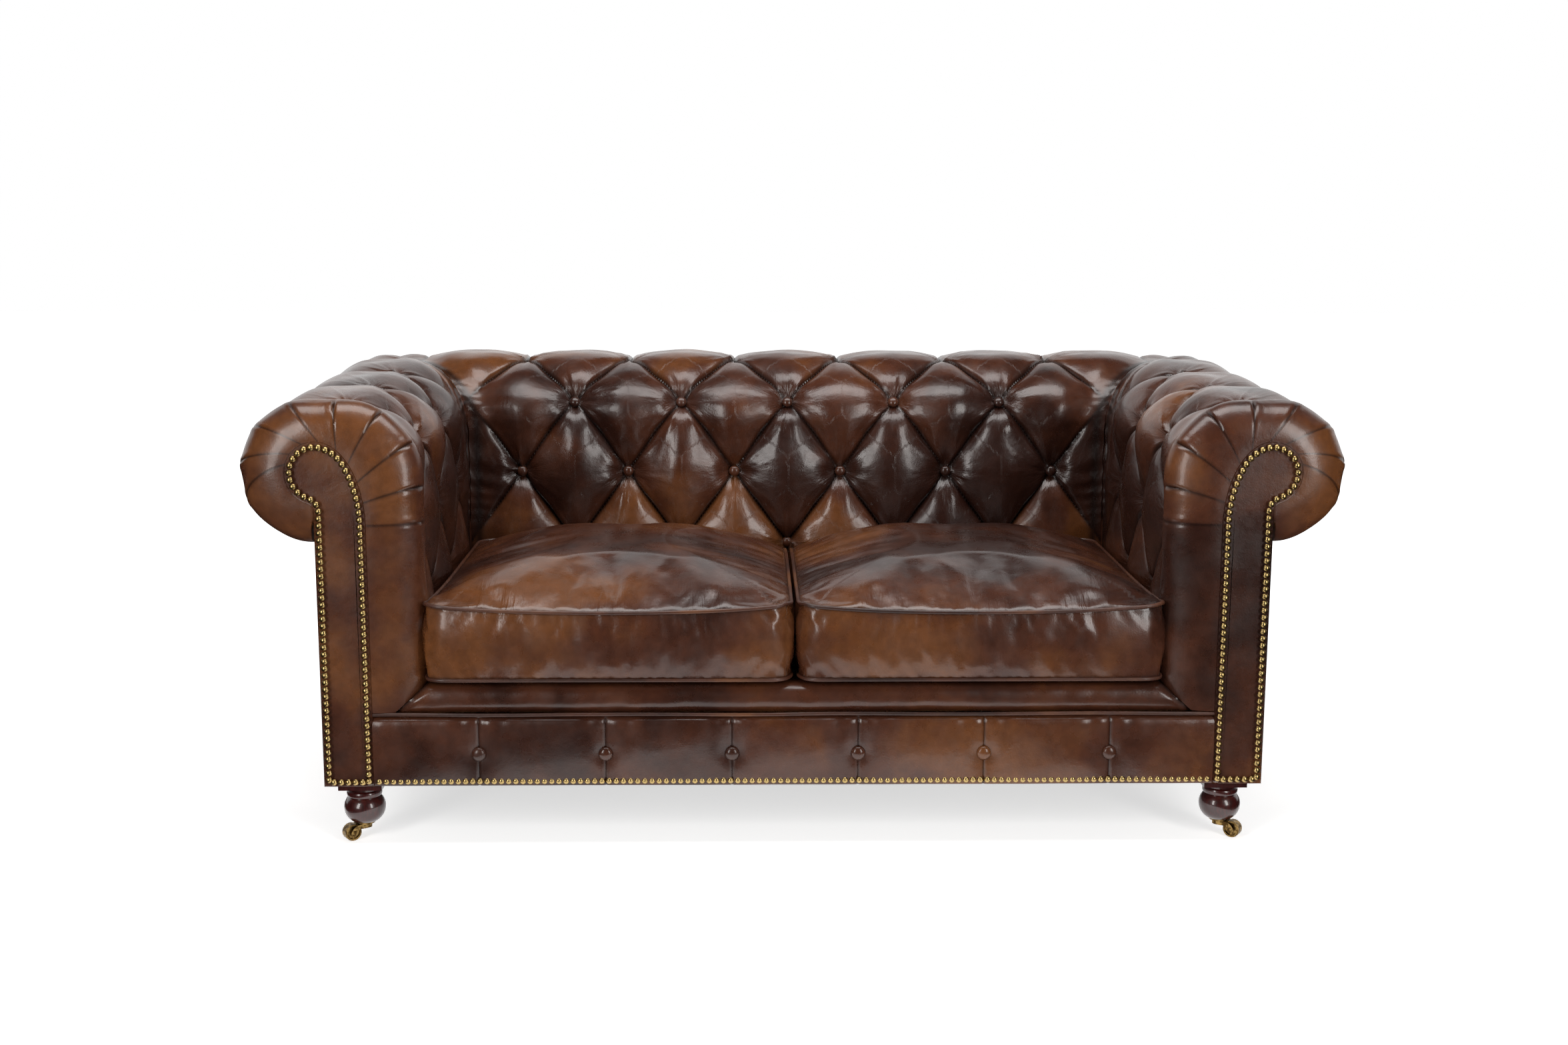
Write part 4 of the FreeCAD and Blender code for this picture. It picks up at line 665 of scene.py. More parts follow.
def front_folds(share, snapped, ends):
    """The pleats that fan round the scroll, as a depth."""
    fold = np.zeros(snapped.shape)
    for number, end in enumerate(ends[1:-1]):
        off = snapped - end
        deep = 2.2 if number == 0 else 5.6
        fold += deep * bell(off, 2.6) * (0.4 if number >= FIRST_OUTSIDE_PLEAT else 1)
        fold -= 1.5 * (bell(off - 7, 4.5) + 0.5 * bell(off + 8, 5))
    middle = np.zeros(snapped.shape)
    for low_end, high_end in zip(ends[5:-1], ends[6:-1]):
        part = np.clip((snapped - low_end) / (high_end - low_end), 0, 1)
        middle += 4.5 * np.sin(math.pi * part)
    return fold * smooth(share, -0.02, 0.3) + middle * smooth(share, -0.1, 0.2) * 0.8


def pleat_shade(snapped, share):
    shade = 0.8 * bell(snapped - FRONT_SEAM, 2.6) * smooth(share, -0.05, 0.15)
    for _, end in FRONT_PLEATS:
        shade = np.maximum(shade, 0.9 * bell(snapped - end, 3.4) * smooth(share, -0.02, 0.25))
    return shade


def back_mesh():
    """The back's buttoned padding between its two slanted joints, and its buttons' places."""
    step = BUTTON_PITCH / 2 / BACK_STEPS
    half = math.ceil((SEAT_WIDTH / 2 + ARM_WIDTH + 8) / step)
    stations = step * np.arange(-half, half + 1)
    start = BUTTON_PITCH / 2
    outer_runs = row_stations(BACK_STEPS, lowest=8, roll_step=4.9)
    bm, row, beside, run, is_inner = padding_grid(stations, step, start, outer_runs)
    along, run = gathered(beside - start, run, ~is_inner * 1.0)
    places = []
    for row_number, place in button_places(-SEAT_WIDTH, SEAT_WIDTH):
        inner_edge = SEAT_WIDTH / 2 + contour(np.array(ROW_RUNS[row_number]))[0]
        if abs(place + start) < inner_edge - BACK_CLEARANCE:
            places.append((row_number, place))
    low, shade, pull, amount = tufting(along, run, places, BACK_SEED)
    across, up, out_x, out_z = contour(run)
    x = along + start
    y = BACK_FACE_Y + across * BACK_SCALE
    distance = np.minimum(-mitre_gap(x, y), -mitre_gap(-x, y))
    low, shade = mitre_valley(low, shade, distance, run)
    low = np.where(is_inner, PADDING_WALL, low)
    y = BACK_FACE_Y + (across - low * out_x) * BACK_SCALE
    z = raised(up, CREST_RISE) - low * out_z
    set_places(bm, np.stack([x, y, z], -1) * MM)
    wear_and_shade = diamond_tone(along, run, BACK_SEED)
    add_layers(bm, {"crease": shade, "pull": pull, "pull_amount": amount, "wear_and_shade": wear_and_shade})
    close_padding(bm, row, (-1, 1), -1)
    return bm, places


# A covered button from its middle outwards, as shares of its radius and height
BUTTON_PROFILE = (
    (0.0, 1.0), (0.35, 0.95), (0.65, 0.78), (0.88, 0.46), (1.0, 0.08), (0.98, -0.5), (0.7, -0.8),
)
# How far a padding button's base stands above the leather under it
BUTTON_STAND = 11.5


def covered_button(bm, base, outwards, radius, height):
    """One leather-covered button standing on a place, facing outwards."""
    bmesh.ops.spin(
        bm, geom=wire(bm, [(out * radius, 0, up * height) for out, up in BUTTON_PROFILE]),
        cent=(0, 0, 0), axis=(0, 0, 1), angle=2 * math.pi, steps=20, use_merge=True,
    )
    new = [vert for vert in bm.verts if not vert.tag]
    bmesh.ops.remove_doubles(bm, verts=new, dist=1e-7)
    rims = [edge for edge in bm.edges if edge.is_boundary]
    bmesh.ops.holes_fill(bm, edges=rims, sides=0)
    turn = Vector((0, 0, 1)).rotation_difference(Vector(outwards)).to_matrix().to_4x4()
    new = [vert for vert in bm.verts if not vert.tag]
    bmesh.ops.transform(bm, matrix=Matrix.Translation(Vector(base)) @ turn, verts=new)
    for vert in new:
        vert.tag = True


def buttons_piece(name, spots, radius, height):
    bm = bmesh.new()
    for base, outwards in spots:
        covered_button(bm, base, outwards, radius, height)
    bmesh.ops.recalc_face_normals(bm, faces=bm.faces)
    return as_object(name, bm, 60)


def padding_button_spots(places, carry):
    """Where each button of a padded piece stands and which way it faces, in metres."""
    low = (sizes().pleat_depth + sizes().button_sink) / MM - BUTTON_STAND
    spots = []
    for row, along in places:
        across, up, out_x, out_z = (float(part) for part in contour(np.array(ROW_RUNS[row])))
        spots.append(carry(along, across - low * out_x, up, low * out_z, out_x, out_z))
    return spots


class SOFA_OT_arms(bpy.types.Operator):
    """Builds the two buttoned arms with their pleated fronts and covered buttons"""

    bl_idname = "chesterfield.arms"
    bl_label = "Buttoned arms"

    def execute(self, context):
        right = as_object("arm_leather_right", arm_mesh(), 50)
        left = reflected(right, "arm_leather_left")
        places = [
            place for place in button_places(-20, SEAT_DEPTH + BACK_DEPTH)
            if mitre_gap(*arm_button_spot(place)) > BUTTON_CLEARANCE and place[1] >= 0
        ]

        def carry(along, across, up, sunk, out_x, out_z):
            deep = along + FIRST_ARM_BUTTON
            z = float(raised(up, CREST_RISE * min(1, deep / SEAT_DEPTH))) - sunk
            return (SEAT_WIDTH / 2 + across, FRONT_Y + deep, z), (out_x, 0, out_z)

        spots = padding_button_spots(places, carry)
        for (side, sign), piece in zip(SIDES, (left, right)):
            upholster(piece, 0.85, f"arm_padding_{side}")
            flip = Vector((sign, 1, 1))
            sided = [(Vector(base) * MM * flip, Vector(out) * flip) for base, out in spots]
            buttons = buttons_piece(f"arm_button_{side}", sided, sizes().button_radius, 6.5 * MM)
            upholster(buttons, None, f"arm_buttons_{side}")
        return {"FINISHED"}


class SOFA_OT_back(bpy.types.Operator):
    """Builds the buttoned back with its covered buttons"""

    bl_idname = "chesterfield.back"
    bl_label = "Buttoned back"

    def execute(self, context):
        bm, places = back_mesh()
        upholster(as_object("back_leather", bm, 50), 0.85, "back_padding")

        def carry(along, across, up, sunk, out_x, out_z):
            y = BACK_FACE_Y + across * BACK_SCALE
            z = float(raised(up, CREST_RISE)) - sunk
            return Vector((along + BUTTON_PITCH / 2, y, z)) * MM, (0, out_x, out_z)

        spots = padding_button_spots(places, carry)
        buttons = buttons_piece("back_button", spots, sizes().button_radius, 6.5 * MM)
        upholster(buttons, None, "back_buttons")
        return {"FINISHED"}


# Seat cushions


CUSHION_CUTS = (84, 84, 16)


def cushion_box():
    """A box of even quads, with each vertex's share from -1 to 1 along each side."""
    bm = bmesh.new()
    bmesh.ops.create_cube(bm, size=2)
    for axis, cuts in enumerate(CUSHION_CUTS):
        edges = [
            edge for edge in bm.edges
            if abs((edge.verts[0].co - edge.verts[1].co)[axis]) > 1.9
        ]
        bmesh.ops.subdivide_edges(bm, edges=edges, cuts=cuts - 1, use_grid_fill=True)
    return bm


def rounded(a, b, half_x, half_y, corner):
    """Draws the corners of a rectangle's outline in to a radius."""
    ring = np.maximum(np.abs(a), np.abs(b))
    safe = np.maximum(ring, 1e-6)
    edge_x, edge_y = np.abs(a) / safe * half_x, np.abs(b) / safe * half_y
    inside = (edge_x > half_x - corner) & (edge_y > half_y - corner)
    centre_x, centre_y = half_x - corner, half_y - corner
    square = edge_x**2 + edge_y**2
    middle = edge_x * centre_x + edge_y * centre_y
    root = np.sqrt(np.clip(middle**2 - square * (centre_x**2 + centre_y**2 - corner**2), 0, None))
    factor = np.where(inside, (middle + root) / square, 1.0)
    scale = 1 + (np.minimum(factor, 1) - 1) * ring**8
    return a * half_x * scale, b * half_y * scale


def cushion_start(sign):
    """The sewn shape of one seat cushion before it is filled, and its seam's vertices."""
    bm = cushion_box()
    share = np.array([vert.co[:] for vert in bm.verts])
    a, b, c = share.T
    x, y = rounded(a, b, CUSHION_HALF_WIDTH, CUSHION_DEPTH / 2, CUSHION_CORNER)
    top = c > 0.999
    base = c < -0.999
    round_across = 2.2 + 0.8 * (1 - b)
    soft = np.clip(1 - np.abs(a) ** round_across, 0, 1) ** 0.85
    soft = soft * np.clip(1 - np.abs(b) ** 3.4, 0, 1) ** 0.7
    crown = sizes().cushion_crown / MM
    mid_front = (1 - a**2) * np.clip(-b, 0, 1) ** 8
    high = CUSHION_HIGH - 6.0 * mid_front + 5.0 * np.abs(a) ** 4 * np.clip(-b, 0, 1) ** 8
    # The back corners between the two cushions are sat down a little
    high = high - 22.0 * np.clip(-a * sign, 0, 1) ** 4 * np.clip(b, 0, 1) ** 4
    low = CUSHION_LOW + 1.5 * mid_front
    z = np.where(top, high + crown * soft, np.where(base, low - 9 * soft, 0))
    between = (c + 1) / 2
    z = np.where(top | base, z, low + (high - low) * between)
    swell = np.sin(math.pi * between) * ~(top | base)
    outward = 1 + 3.0 / CUSHION_HALF_WIDTH * swell
    x, y = x * outward, y * outward
    y = y - 9.0 * mid_front * (0.55 + 0.45 * between)
    outer_front = np.clip(a * sign, 0, 1) ** 3 * np.clip(-b, 0, 1) ** 3
    x = x + sign * 13.0 * outer_front
    y = y - 7.0 * np.clip(-b, 0, 1) ** 6
    y = y + CUSHION_FRONT + CUSHION_DEPTH / 2
    set_places(bm, np.stack([x + sign * CUSHION_SPACING / 2, y, z], -1) * MM)
    seam = ((np.abs(c) > 0.999) & (np.maximum(np.abs(a), np.abs(b)) > 0.999)) * 1.0
    return bm, share, seam


# A supple hide over down: it stretches by a fiftieth and moves by no more than 20 mm
HIDE_CLOTH = {
    "quality": 5, "mass": 0.6, "vertex_group_mass": "seam", "use_pressure": True,
    "uniform_pressure_force": 4.0, "tension_stiffness": 40, "compression_stiffness": 40,
    "shear_stiffness": 12, "bending_stiffness": 0.6, "tension_damping": 12,
    "compression_damping": 12, "bending_damping": 2, "shrink_min": -0.02,
}
MOST_SWELL = 20 * MM
FILLING_FRAMES = 20


def vertex_places(mesh):
    places = np.empty(len(mesh.vertices) * 3)
    mesh.vertices.foreach_get("co", places)
    return places.reshape(-1, 3)


def stuffed(piece, seam):
    """Fills a sewn cover with air by cloth simulation, its seams held, and keeps the result."""
    mesh = piece.data
    start = vertex_places(mesh)
    group = piece.vertex_groups.new(name="seam")
    group.add([int(index) for index in np.flatnonzero(seam > 0.5)], 1.0, "REPLACE")
    cloth = piece.modifiers.new("Cloth", "CLOTH")
    for name, value in HIDE_CLOTH.items():
        setattr(cloth.settings, name, value)
    cloth.settings.effector_weights.gravity = 0
    cloth.collision_settings.use_collision = False
    cloth.collision_settings.use_self_collision = False
    cloth.point_cache.frame_start = 1
    cloth.point_cache.frame_end = FILLING_FRAMES
    scene = bpy.context.scene
    for number in range(1, FILLING_FRAMES + 1):
        scene.frame_set(number)
    shown = piece.evaluated_get(bpy.context.evaluated_depsgraph_get()).data
    moved = vertex_places(shown) - start
    length = np.linalg.norm(moved, axis=1, keepdims=True)
    moved *= np.minimum(1, MOST_SWELL / np.maximum(length, 1e-9))
    piece.modifiers.remove(cloth)
    piece.vertex_groups.remove(group)
    mesh.vertices.foreach_set("co", (start + moved).ravel())
    mesh.update()
    scene.frame_set(1)


def seam_ring(places, share, level):
    """The vertices of one sewn edge in order round the cushion, in millimetres."""
    a, b, c = share.T
    on = (np.abs(c - level) < 1e-3) & (np.maximum(np.abs(a), np.abs(b)) > 0.999)
    spots = places[on]
    centre = spots.mean(0)
    order = np.argsort(np.arctan2(spots[:, 1] - centre[1], spots[:, 0] - centre[0]))
    return spots[order] / MM


def seam_puckers(share, sign):
    """Streaks that cross each seam, drawn tight by its stitches."""
    a, b, c = share.T
    across = a * CUSHION_HALF_WIDTH
    deep = b * CUSHION_DEPTH / 2
    by_side = CUSHION_HALF_WIDTH - np.abs(across) < CUSHION_DEPTH / 2 - np.abs(deep)
    running = np.where(by_side, deep, across)
    square = np.where(by_side, across, deep)
    gap = np.minimum(CUSHION_HALF_WIDTH - np.abs(across), CUSHION_DEPTH / 2 - np.abs(deep))
    pull = np.stack([running / 66, square / 420, by_side * 3.0 + sign + c], -1)
    uneven = 0.5 + 0.5 * drift(running / 150, square / 900, 31)
    boxing = np.abs(c) < 0.999
    amount = np.where(boxing, 0.35 * np.abs(c) ** 2, 0.9 * bell(gap, 70)) * np.clip(uneven, 0.1, 1)
    return pull, amount


class SOFA_OT_cushions(bpy.types.Operator):
    """Sews, pipes and fills the two loose seat cushions"""

    bl_idname = "chesterfield.cushions"
    bl_label = "Seat cushions"

    def execute(self, context):
        for side, sign in SIDES:
            bm, share, seam = cushion_start(sign)
            a, b, c = share.T
            near_seam = np.maximum(np.abs(a), np.abs(b))
            sewn = bell(1 - near_seam, 0.012) * (np.abs(c) > 0.999)
            sewn = np.maximum(sewn, bell(1 - np.abs(c), 0.05) * (near_seam > 0.999))
            front_slope = bell(b + 0.88, 0.14) * bell(a + 0.1, 0.8)
            wear_and_shade = np.maximum(0.6 * smooth(-b, 0.9, 0.99), 0.8 * front_slope) - 0.25 * (sign > 0)
            pull, amount = seam_puckers(share, sign)
            layers = {"crease": 0.75 * sewn, "wear_and_shade": wear_and_shade, "pull": pull, "pull_amount": amount}
            add_layers(bm, layers)
            bmesh.ops.recalc_face_normals(bm, faces=bm.faces)
            piece = as_object(f"seat_cushion_{side}", bm, 70)
            stuffed(piece, seam)
            body = f"cushion_{side}"
            upholster(piece, 0.75, f"cushion_cover_{side}", f"cushion_filling_{side}", body=body)
            pipes = []
            for level in (-1, 1):
                ring = seam_ring(vertex_places(piece.data), share, level)
                out = (ring - ring.mean(0)) * (1, 1, 0)
                out /= np.linalg.norm(out, axis=1, keepdims=True)
                pipes.append(tube("pipe", ring + out * 1.6, sizes().piping_radius, True))
            piping = joined(pipes, f"seat_piping_{side}")
            finish(piping, body, "leather", "piping_hide", f"cushion_piping_{side}")
        return {"FINISHED"}


def joined(pieces, name):
    """One piece made of several separate meshes."""
    bm = bmesh.new()
    for piece in pieces:
        bm.from_mesh(piece.data)
        mesh = piece.data
        bpy.data.objects.remove(piece)
        bpy.data.meshes.remove(mesh)
    return as_object(name, bm, 60)


# Plain leather panels, the front rail and the lip


def swept(columns, loop, place):
    """A closed band: columns along a length, each a closed loop of rows, with its ends filled."""
    bm, column, row = grid_mesh(columns, loop + 1)
    places, shade = place(column, row % loop)
    set_places(bm, places * MM)
    add_layers(bm, {"crease": shade})
    weld_rows(bm, row, loop)
    close_holes(bm)
    return bm


def lip_loop():
    """The lip's cross-section as a closed loop of depth and height."""
    nose = LIP_NOSE
    points = [(LIP_BACK, LIP_BOTTOM + 1), (LIP_BACK - 26, LIP_BOTTOM)]
    for level, first, last in (
        (LIP_BOTTOM + nose, -math.pi / 2, 0), (LIP_TOP - nose, 0, math.pi / 2)
    ):
        for turn in np.linspace(first, last, 9):
            depth = LIP_FRONT + nose - nose * math.cos(turn)
            points.append((depth, level + nose * math.sin(turn)))
    points += [(LIP_BACK - 26, LIP_TOP), (LIP_BACK, LIP_TOP - 1)]
    return np.array(points)


LIP_COLUMNS = 301
RAIL_COLUMNS = 427


class SOFA_OT_front(bpy.types.Operator):
    """Builds the padded lip under the cushions and the seamed cover of the front rail"""

    bl_idname = "chesterfield.front"
    bl_label = "Front lip and rail"

    def execute(self, context):
        loop = lip_loop()

        def place_lip(column, row):
            share = column / (LIP_COLUMNS - 1) * 2 - 1
            depth, up = loop[row].T
            reach = SEAT_WIDTH / 2 + LIP_SLANT * (LIP_TOP - up) / (LIP_TOP - LIP_BOTTOM) - 0.5
            x = share * reach
            sag = 1.2 * drift(x / 260, up / 300, 3) + 0.5 * drift(x / 45, up / 60, 4)
            end = reach - np.abs(x)
            tuck = 5 * bell(end, 9) + 1.2 * np.sin(up / 3.1) * np.exp(-end / 18)
            y = depth + (sag * 0.8 + tuck) * smooth(-depth, 400, 460)
            z = up + 0.6 * drift(x / 120, depth / 90, 5)
            return np.stack([x, y, z], -1), bell(end, 5)

        upholster(as_object("front_lip", swept(LIP_COLUMNS, len(loop), place_lip), 60), 0.8,
                  "seat_border")
        rail = rail_loop()

        def place_rail(column, row):
            x = (column - RAIL_COLUMNS // 2) / (RAIL_COLUMNS // 2) * RAIL_HALF
            depth, up = rail[row].T
            near = (x + BUTTON_PITCH) % BUTTON_PITCH - BUTTON_PITCH / 2
            face = smooth(-depth, 472, 482)
            height = np.clip((up - RAIL_BOTTOM) / (RAIL_TOP - RAIL_BOTTOM), 0, 1)
            puff = 4.0 * (1 - bell(near, 30)) * np.sin(math.pi * height**1.3) ** 0.6
            pucker = 1.5 * np.sin(near / 5.6 + 1.2) * bell(near, 44) * smooth(height, 0.35, 0.95)
            pull = np.hypot(near, up - RAIL_BUTTON_LEVEL)
            sunk = 2.6 * bell(near, 1.9) - puff + pucker + 2.2 * bell(pull, 15)
            y = depth + (sunk + 0.5 * drift(x / 80, up / 90, 7)) * face
            shade = np.maximum(0.75 * bell(near, 2.0), 0.4 * bell(pull, 13)) * face
            return np.stack([x, y, up], -1), shade

        upholster(as_object("rail_leather", swept(RAIL_COLUMNS, len(rail), place_rail), 50), 0.9,
                  "front_rail_cover")
        line = [
            (x, RAIL_FRONT + 3.2 + 0.5 * math.sin(x / 37), RAIL_TOP + 3.3 + 0.7 * math.sin(x / 61))
            for x in np.linspace(-RAIL_HALF, RAIL_HALF, 240)
        ]
        piping = tube("rail_piping", line, sizes().piping_radius, False)
        finish(piping, "root", "leather", "piping_hide", "front_rail_piping")
        spots = [
            (Vector((x, RAIL_FRONT + 0.2, RAIL_BUTTON_LEVEL)) * MM, (0, -1, 0))
            for x in np.arange(-2.5, 3) * BUTTON_PITCH
        ]
        upholster(buttons_piece("rail_button", spots, 11.8 * MM, 6 * MM), None,
                  "front_rail_buttons")
        return {"FINISHED"}


def rail_loop():
    """The rail cover's cross-section as a closed loop of depth and height."""
    front, back = RAIL_FRONT, RAIL_BACK
    points = [
        (back, RAIL_BOTTOM), (front + 2, RAIL_BOTTOM), (front + 0.6, RAIL_BOTTOM + 0.8),
        (front, RAIL_BOTTOM + 2.5),
    ]
    points += [(front, up) for up in np.linspace(RAIL_BOTTOM + 6, RAIL_TOP - 14, 28)]
    for turn in np.linspace(0.2, math.pi / 2, 7):
        points.append((front + 13 - 13 * math.cos(turn), RAIL_TOP - 12 + 12 * math.sin(turn)))
    return np.array(points + [(back, RAIL_TOP)])


# A facing's straight side, and the insets and rises of its rolled edge and crown
FACING_STAND = 5.1
FACING_ROLL = ((0.7, 1.3), (1.1, 0.8), (2.2, 0.3), (6, 0.66), (8, 0.36))


def flat_panel(name, outline, facing):
    """A padded panel from its outline: rolled edges, a soft crown and a flat back."""
    bm = bmesh.new()
    face = bm.faces.new([bm.verts.new((x * MM, y * MM, 0)) for x, y in outline])
    if face.normal.z < 0:
        bmesh.ops.reverse_faces(bm, faces=[face])
    made = bmesh.ops.extrude_face_region(bm, geom=[face])["geom"]
    top = [item for item in made if isinstance(item, bmesh.types.BMFace)]
    lifted = [item for item in made if isinstance(item, bmesh.types.BMVert)]
    bmesh.ops.translate(bm, vec=(0, 0, FACING_STAND * MM), verts=lifted)
    for step, rise in FACING_ROLL:
        bmesh.ops.inset_region(
            bm, faces=top, thickness=step * MM, depth=rise * MM, use_even_offset=True,
            use_boundary=True,
        )
    bmesh.ops.transform(bm, matrix=facing, verts=bm.verts)
    bmesh.ops.recalc_face_normals(bm, faces=bm.faces)
    return as_object(name, bm, 50)


def facing_outline():
    over = scroll_over(0.6, 130)
    foot = np.linspace(over[-1][1], RAIL_BOTTOM, 24)[1:]
    points = list(over) + [(BODY_SIDE + 0.6, z) for z in foot]
    points += [(x, RAIL_BOTTOM) for x in np.linspace(BODY_SIDE, SCROLL_INNER, 8)[1:-1]]
    points += [(SCROLL_INNER - 0.6, z) for z in np.linspace(RAIL_BOTTOM, SCROLL_SHOULDER, 34)[:-1]]
    return points


class SOFA_OT_panels(bpy.types.Operator):
    """Builds the scroll facings and the plain leather of the outside arms and back"""

    bl_idname = "chesterfield.panels"
    bl_label = "Facings and outside panels"

    def execute(self, context):
        upright = Matrix(((1, 0, 0, 0), (0, 0, -1, FACING_BACK * MM), (0, 1, 0, 0), (0, 0, 0, 1)))
        right = flat_panel("facing_leather_right", facing_outline(), upright)
        left = reflected(right, "facing_leather_left")
        for side, piece in (("left", left), ("right", right)):
            upholster(piece, 0.95, f"scroll_facing_{side}")
        for side, sign in SIDES:
            low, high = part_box(f"outside_arm_{side}")
            piece = outside_panel(f"outside_leather_{side}", low, high, 0, sign)
            upholster(piece, 0.95, f"outside_arm_{side}")
            upholster(front_edge_strip(f"edge_leather_{side}", low, high, sign), None)
        piece = outside_panel("outside_leather_back", *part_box("outside_back"), 1, 1)
        upholster(piece, 0.95, "outside_back")
        return {"FINISHED"}


def sheet_grid(columns, rows, place):
    """A grid of quads whose vertices are placed by their shares, -1 to 1, across and up."""
    bm = bmesh.new()
    bmesh.ops.create_grid(bm, x_segments=columns, y_segments=rows, size=1)
    for vert in bm.verts:
        vert.co = place(vert.co.x, vert.co.y)
    return bm


def backed(name, bm, behind):
    """Gives a sheet straight sides and a second layer, where a function puts each vertex."""
    for item in bmesh.ops.extrude_face_region(bm, geom=bm.faces[:])["geom"]:
        if isinstance(item, bmesh.types.BMVert):
            item.co = behind(item.co)
    bmesh.ops.recalc_face_normals(bm, faces=bm.faces)
    return as_object(name, bm, 50)


def thickened(name, bm, thickness):
    bmesh.ops.solidify(bm, geom=bm.faces[:], thickness=thickness)
    bmesh.ops.recalc_face_normals(bm, faces=bm.faces)
    return as_object(name, bm, 50)


def middle_and_half(low, high):
    low, high = np.array(low), np.array(high)
    return (low + high) / 2, (high - low) / 2


def front_edge_strip(name, low, high, sign):
    """Leather turned over the front board's edge and back over the outside panel's first seam."""
    front, back = FACING_BACK * MM, low[1] + 9 * MM

    def place(u, v):
        share = (u + 1) / 2
        up = (v + 1) / 2 * (high[2] - low[2]) + low[2]
        welt = 0.9 * math.exp(-(((share - 0.86) / 0.09) ** 2))
        ripple = 0.15 * float(drift(up * 14, share, 53))
        out = BODY_SIDE + 1.1 + welt + ripple
        return sign * out * MM, front + share * (back - front), up

    inside = sign * (BODY_SIDE + 0.1) * MM
    return backed(name, sheet_grid(16, 60, place), lambda spot: (inside, spot.y, spot.z))


class SOFA_OT_cloths(bpy.types.Operator):
    """Stretches the cloths that lie under the cushions, behind the padding and under the frame"""

    bl_idname = "chesterfield.cloths"
    bl_label = "Deck, linings and dust cover"

    def execute(self, context):
        piece = deck_pad("deck_platform", *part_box("deck"))
        finish(piece, "root", "deck_cloth", "platform_cloth", "deck")
        for node, axis in (("arm_lining_left", 0), ("arm_lining_right", 0), ("back_lining", 1)):
            low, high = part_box(node)
            piece = lining_cloth(node.replace("lining", "hessian"), low, high, axis)
            finish(piece, "root", "hessian", "jute_hessian", node)
        low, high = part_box("dust_cover")
        feet = [f"{kind}_{side}" for kind in ("foot_block", "rear_leg") for side, _ in SIDES]
        piece, area = dust_cloth("dust_cloth", low, high, [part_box(foot) for foot in feet])
        finish(piece, "root", "deck_cloth", "platform_cloth", "dust_cover")
        return {"FINISHED"}


def deck_pad(name, low, high):
    """The platform under the cushions: a thin pad that sags over the springs, sewn in front."""
    middle, half = middle_and_half(low, high)

    def place(u, v):
        edge = min((1 - abs(u)) * half[0], (1 - abs(v)) * half[1]) / MM
        sag = 7.0 * (1 - u**2) * (1 - v**2) + 6.0 * math.exp(-((edge / 6) ** 2))
        sag += 1.2 * float(drift(u * 2.2, v * 6.0, 41)) * min(1, edge / 30)
        sag += 3.2 * math.exp(-(((v + 1) * half[1] / MM - 46) / 4) ** 2)
        return middle[0] + u * half[0], middle[1] + v * half[1], high[2] - sag * MM

    level = low[2] + 1 * MM
    return backed(name, sheet_grid(150, 72, place), lambda spot: (spot.x, spot.y, level))


def lining_cloth(name, low, high, axis):
    """Hessian stretched and tacked behind the padding, slack by a fraction of its thickness."""
    middle, half = middle_and_half(low, high)

    def place(u, v):
        slack = 0.6 * MM * float(drift(u * 2.5, v * 1.5, 43))
        flat = (slack, u * half[1]) if axis == 0 else (u * half[0], slack)
        return middle + (*flat, v * half[2])

    return thickened(name, sheet_grid(40, 20, place), 1.2 * MM)


def dust_cloth(name, low, high, holes):
    """Black cloth under the frame, cut out round the feet, with its area in square metres."""
    middle, half = middle_and_half(low, high)
    bm = sheet_grid(1, 1, lambda u, v: middle + (u * half[0], v * half[1], 0))
    gap = 0.5 * MM
    cuts = [(axis, corner[axis] + step) for hole in holes for axis in (0, 1)
            for corner, step in zip(hole, (-gap, gap))]
    cuts += [(0, float(x)) for x in np.linspace(low[0], high[0], 24)[1:-1]]
    cuts += [(1, float(y)) for y in np.linspace(low[1], high[1], 14)[1:-1]]
    for axis, place in cuts:
        spot, normal = Vector((0, 0, 0)), Vector((0, 0, 0))
        spot[axis], normal[axis] = place, 1
        geom = bm.verts[:] + bm.edges[:] + bm.faces[:]
        bmesh.ops.bisect_plane(bm, geom=geom, plane_co=spot, plane_no=normal, dist=1e-6)

    def by_foot(spot):
        return any(
            all(first[axis] - gap < spot[axis] < last[axis] + gap for axis in (0, 1))
            for first, last in holes
        )

    cut = [face for face in bm.faces if by_foot(face.calc_center_median())]
    bmesh.ops.delete(bm, geom=cut, context="FACES")
    area = sum(face.calc_area() for face in bm.faces)
    for vert in bm.verts:
        vert.co.z += 0.12 * MM * float(drift(vert.co.x * 4, vert.co.y * 4, 47))
    return thickened(name, bm, 0.6 * MM), area


def outside_panel(name, low, high, axis, sign):
    """A stretched leather panel that fills a node's box, a little fuller in its middle."""
    along = 1 - axis
    middle, half = middle_and_half(low, high)

    def place(u, v):
        edge = min((1 - abs(u)) * half[along], (1 - abs(v)) * half[2])
        roll = 3 * MM * math.exp(-((edge / (4 * MM)) ** 2))
        ripple = 0.7 * MM * float(drift(u * half[along] * 3, v * half[2] * 2.2, 17))
        spot = middle + (u * half[0], u * half[1], v * half[2])
        out = roll + 0.8 * MM - ripple * min(1, edge / 0.03)
        spot[axis] = middle[axis] + sign * (half[axis] - out)
        return spot

    inwards = Vector((0, 0, 0))
    inwards[axis] = -sign * 2 * half[axis] * 0.82 * 0.6
    return backed(name, sheet_grid(90, 60, place), lambda spot: spot + inwards)


# Materials


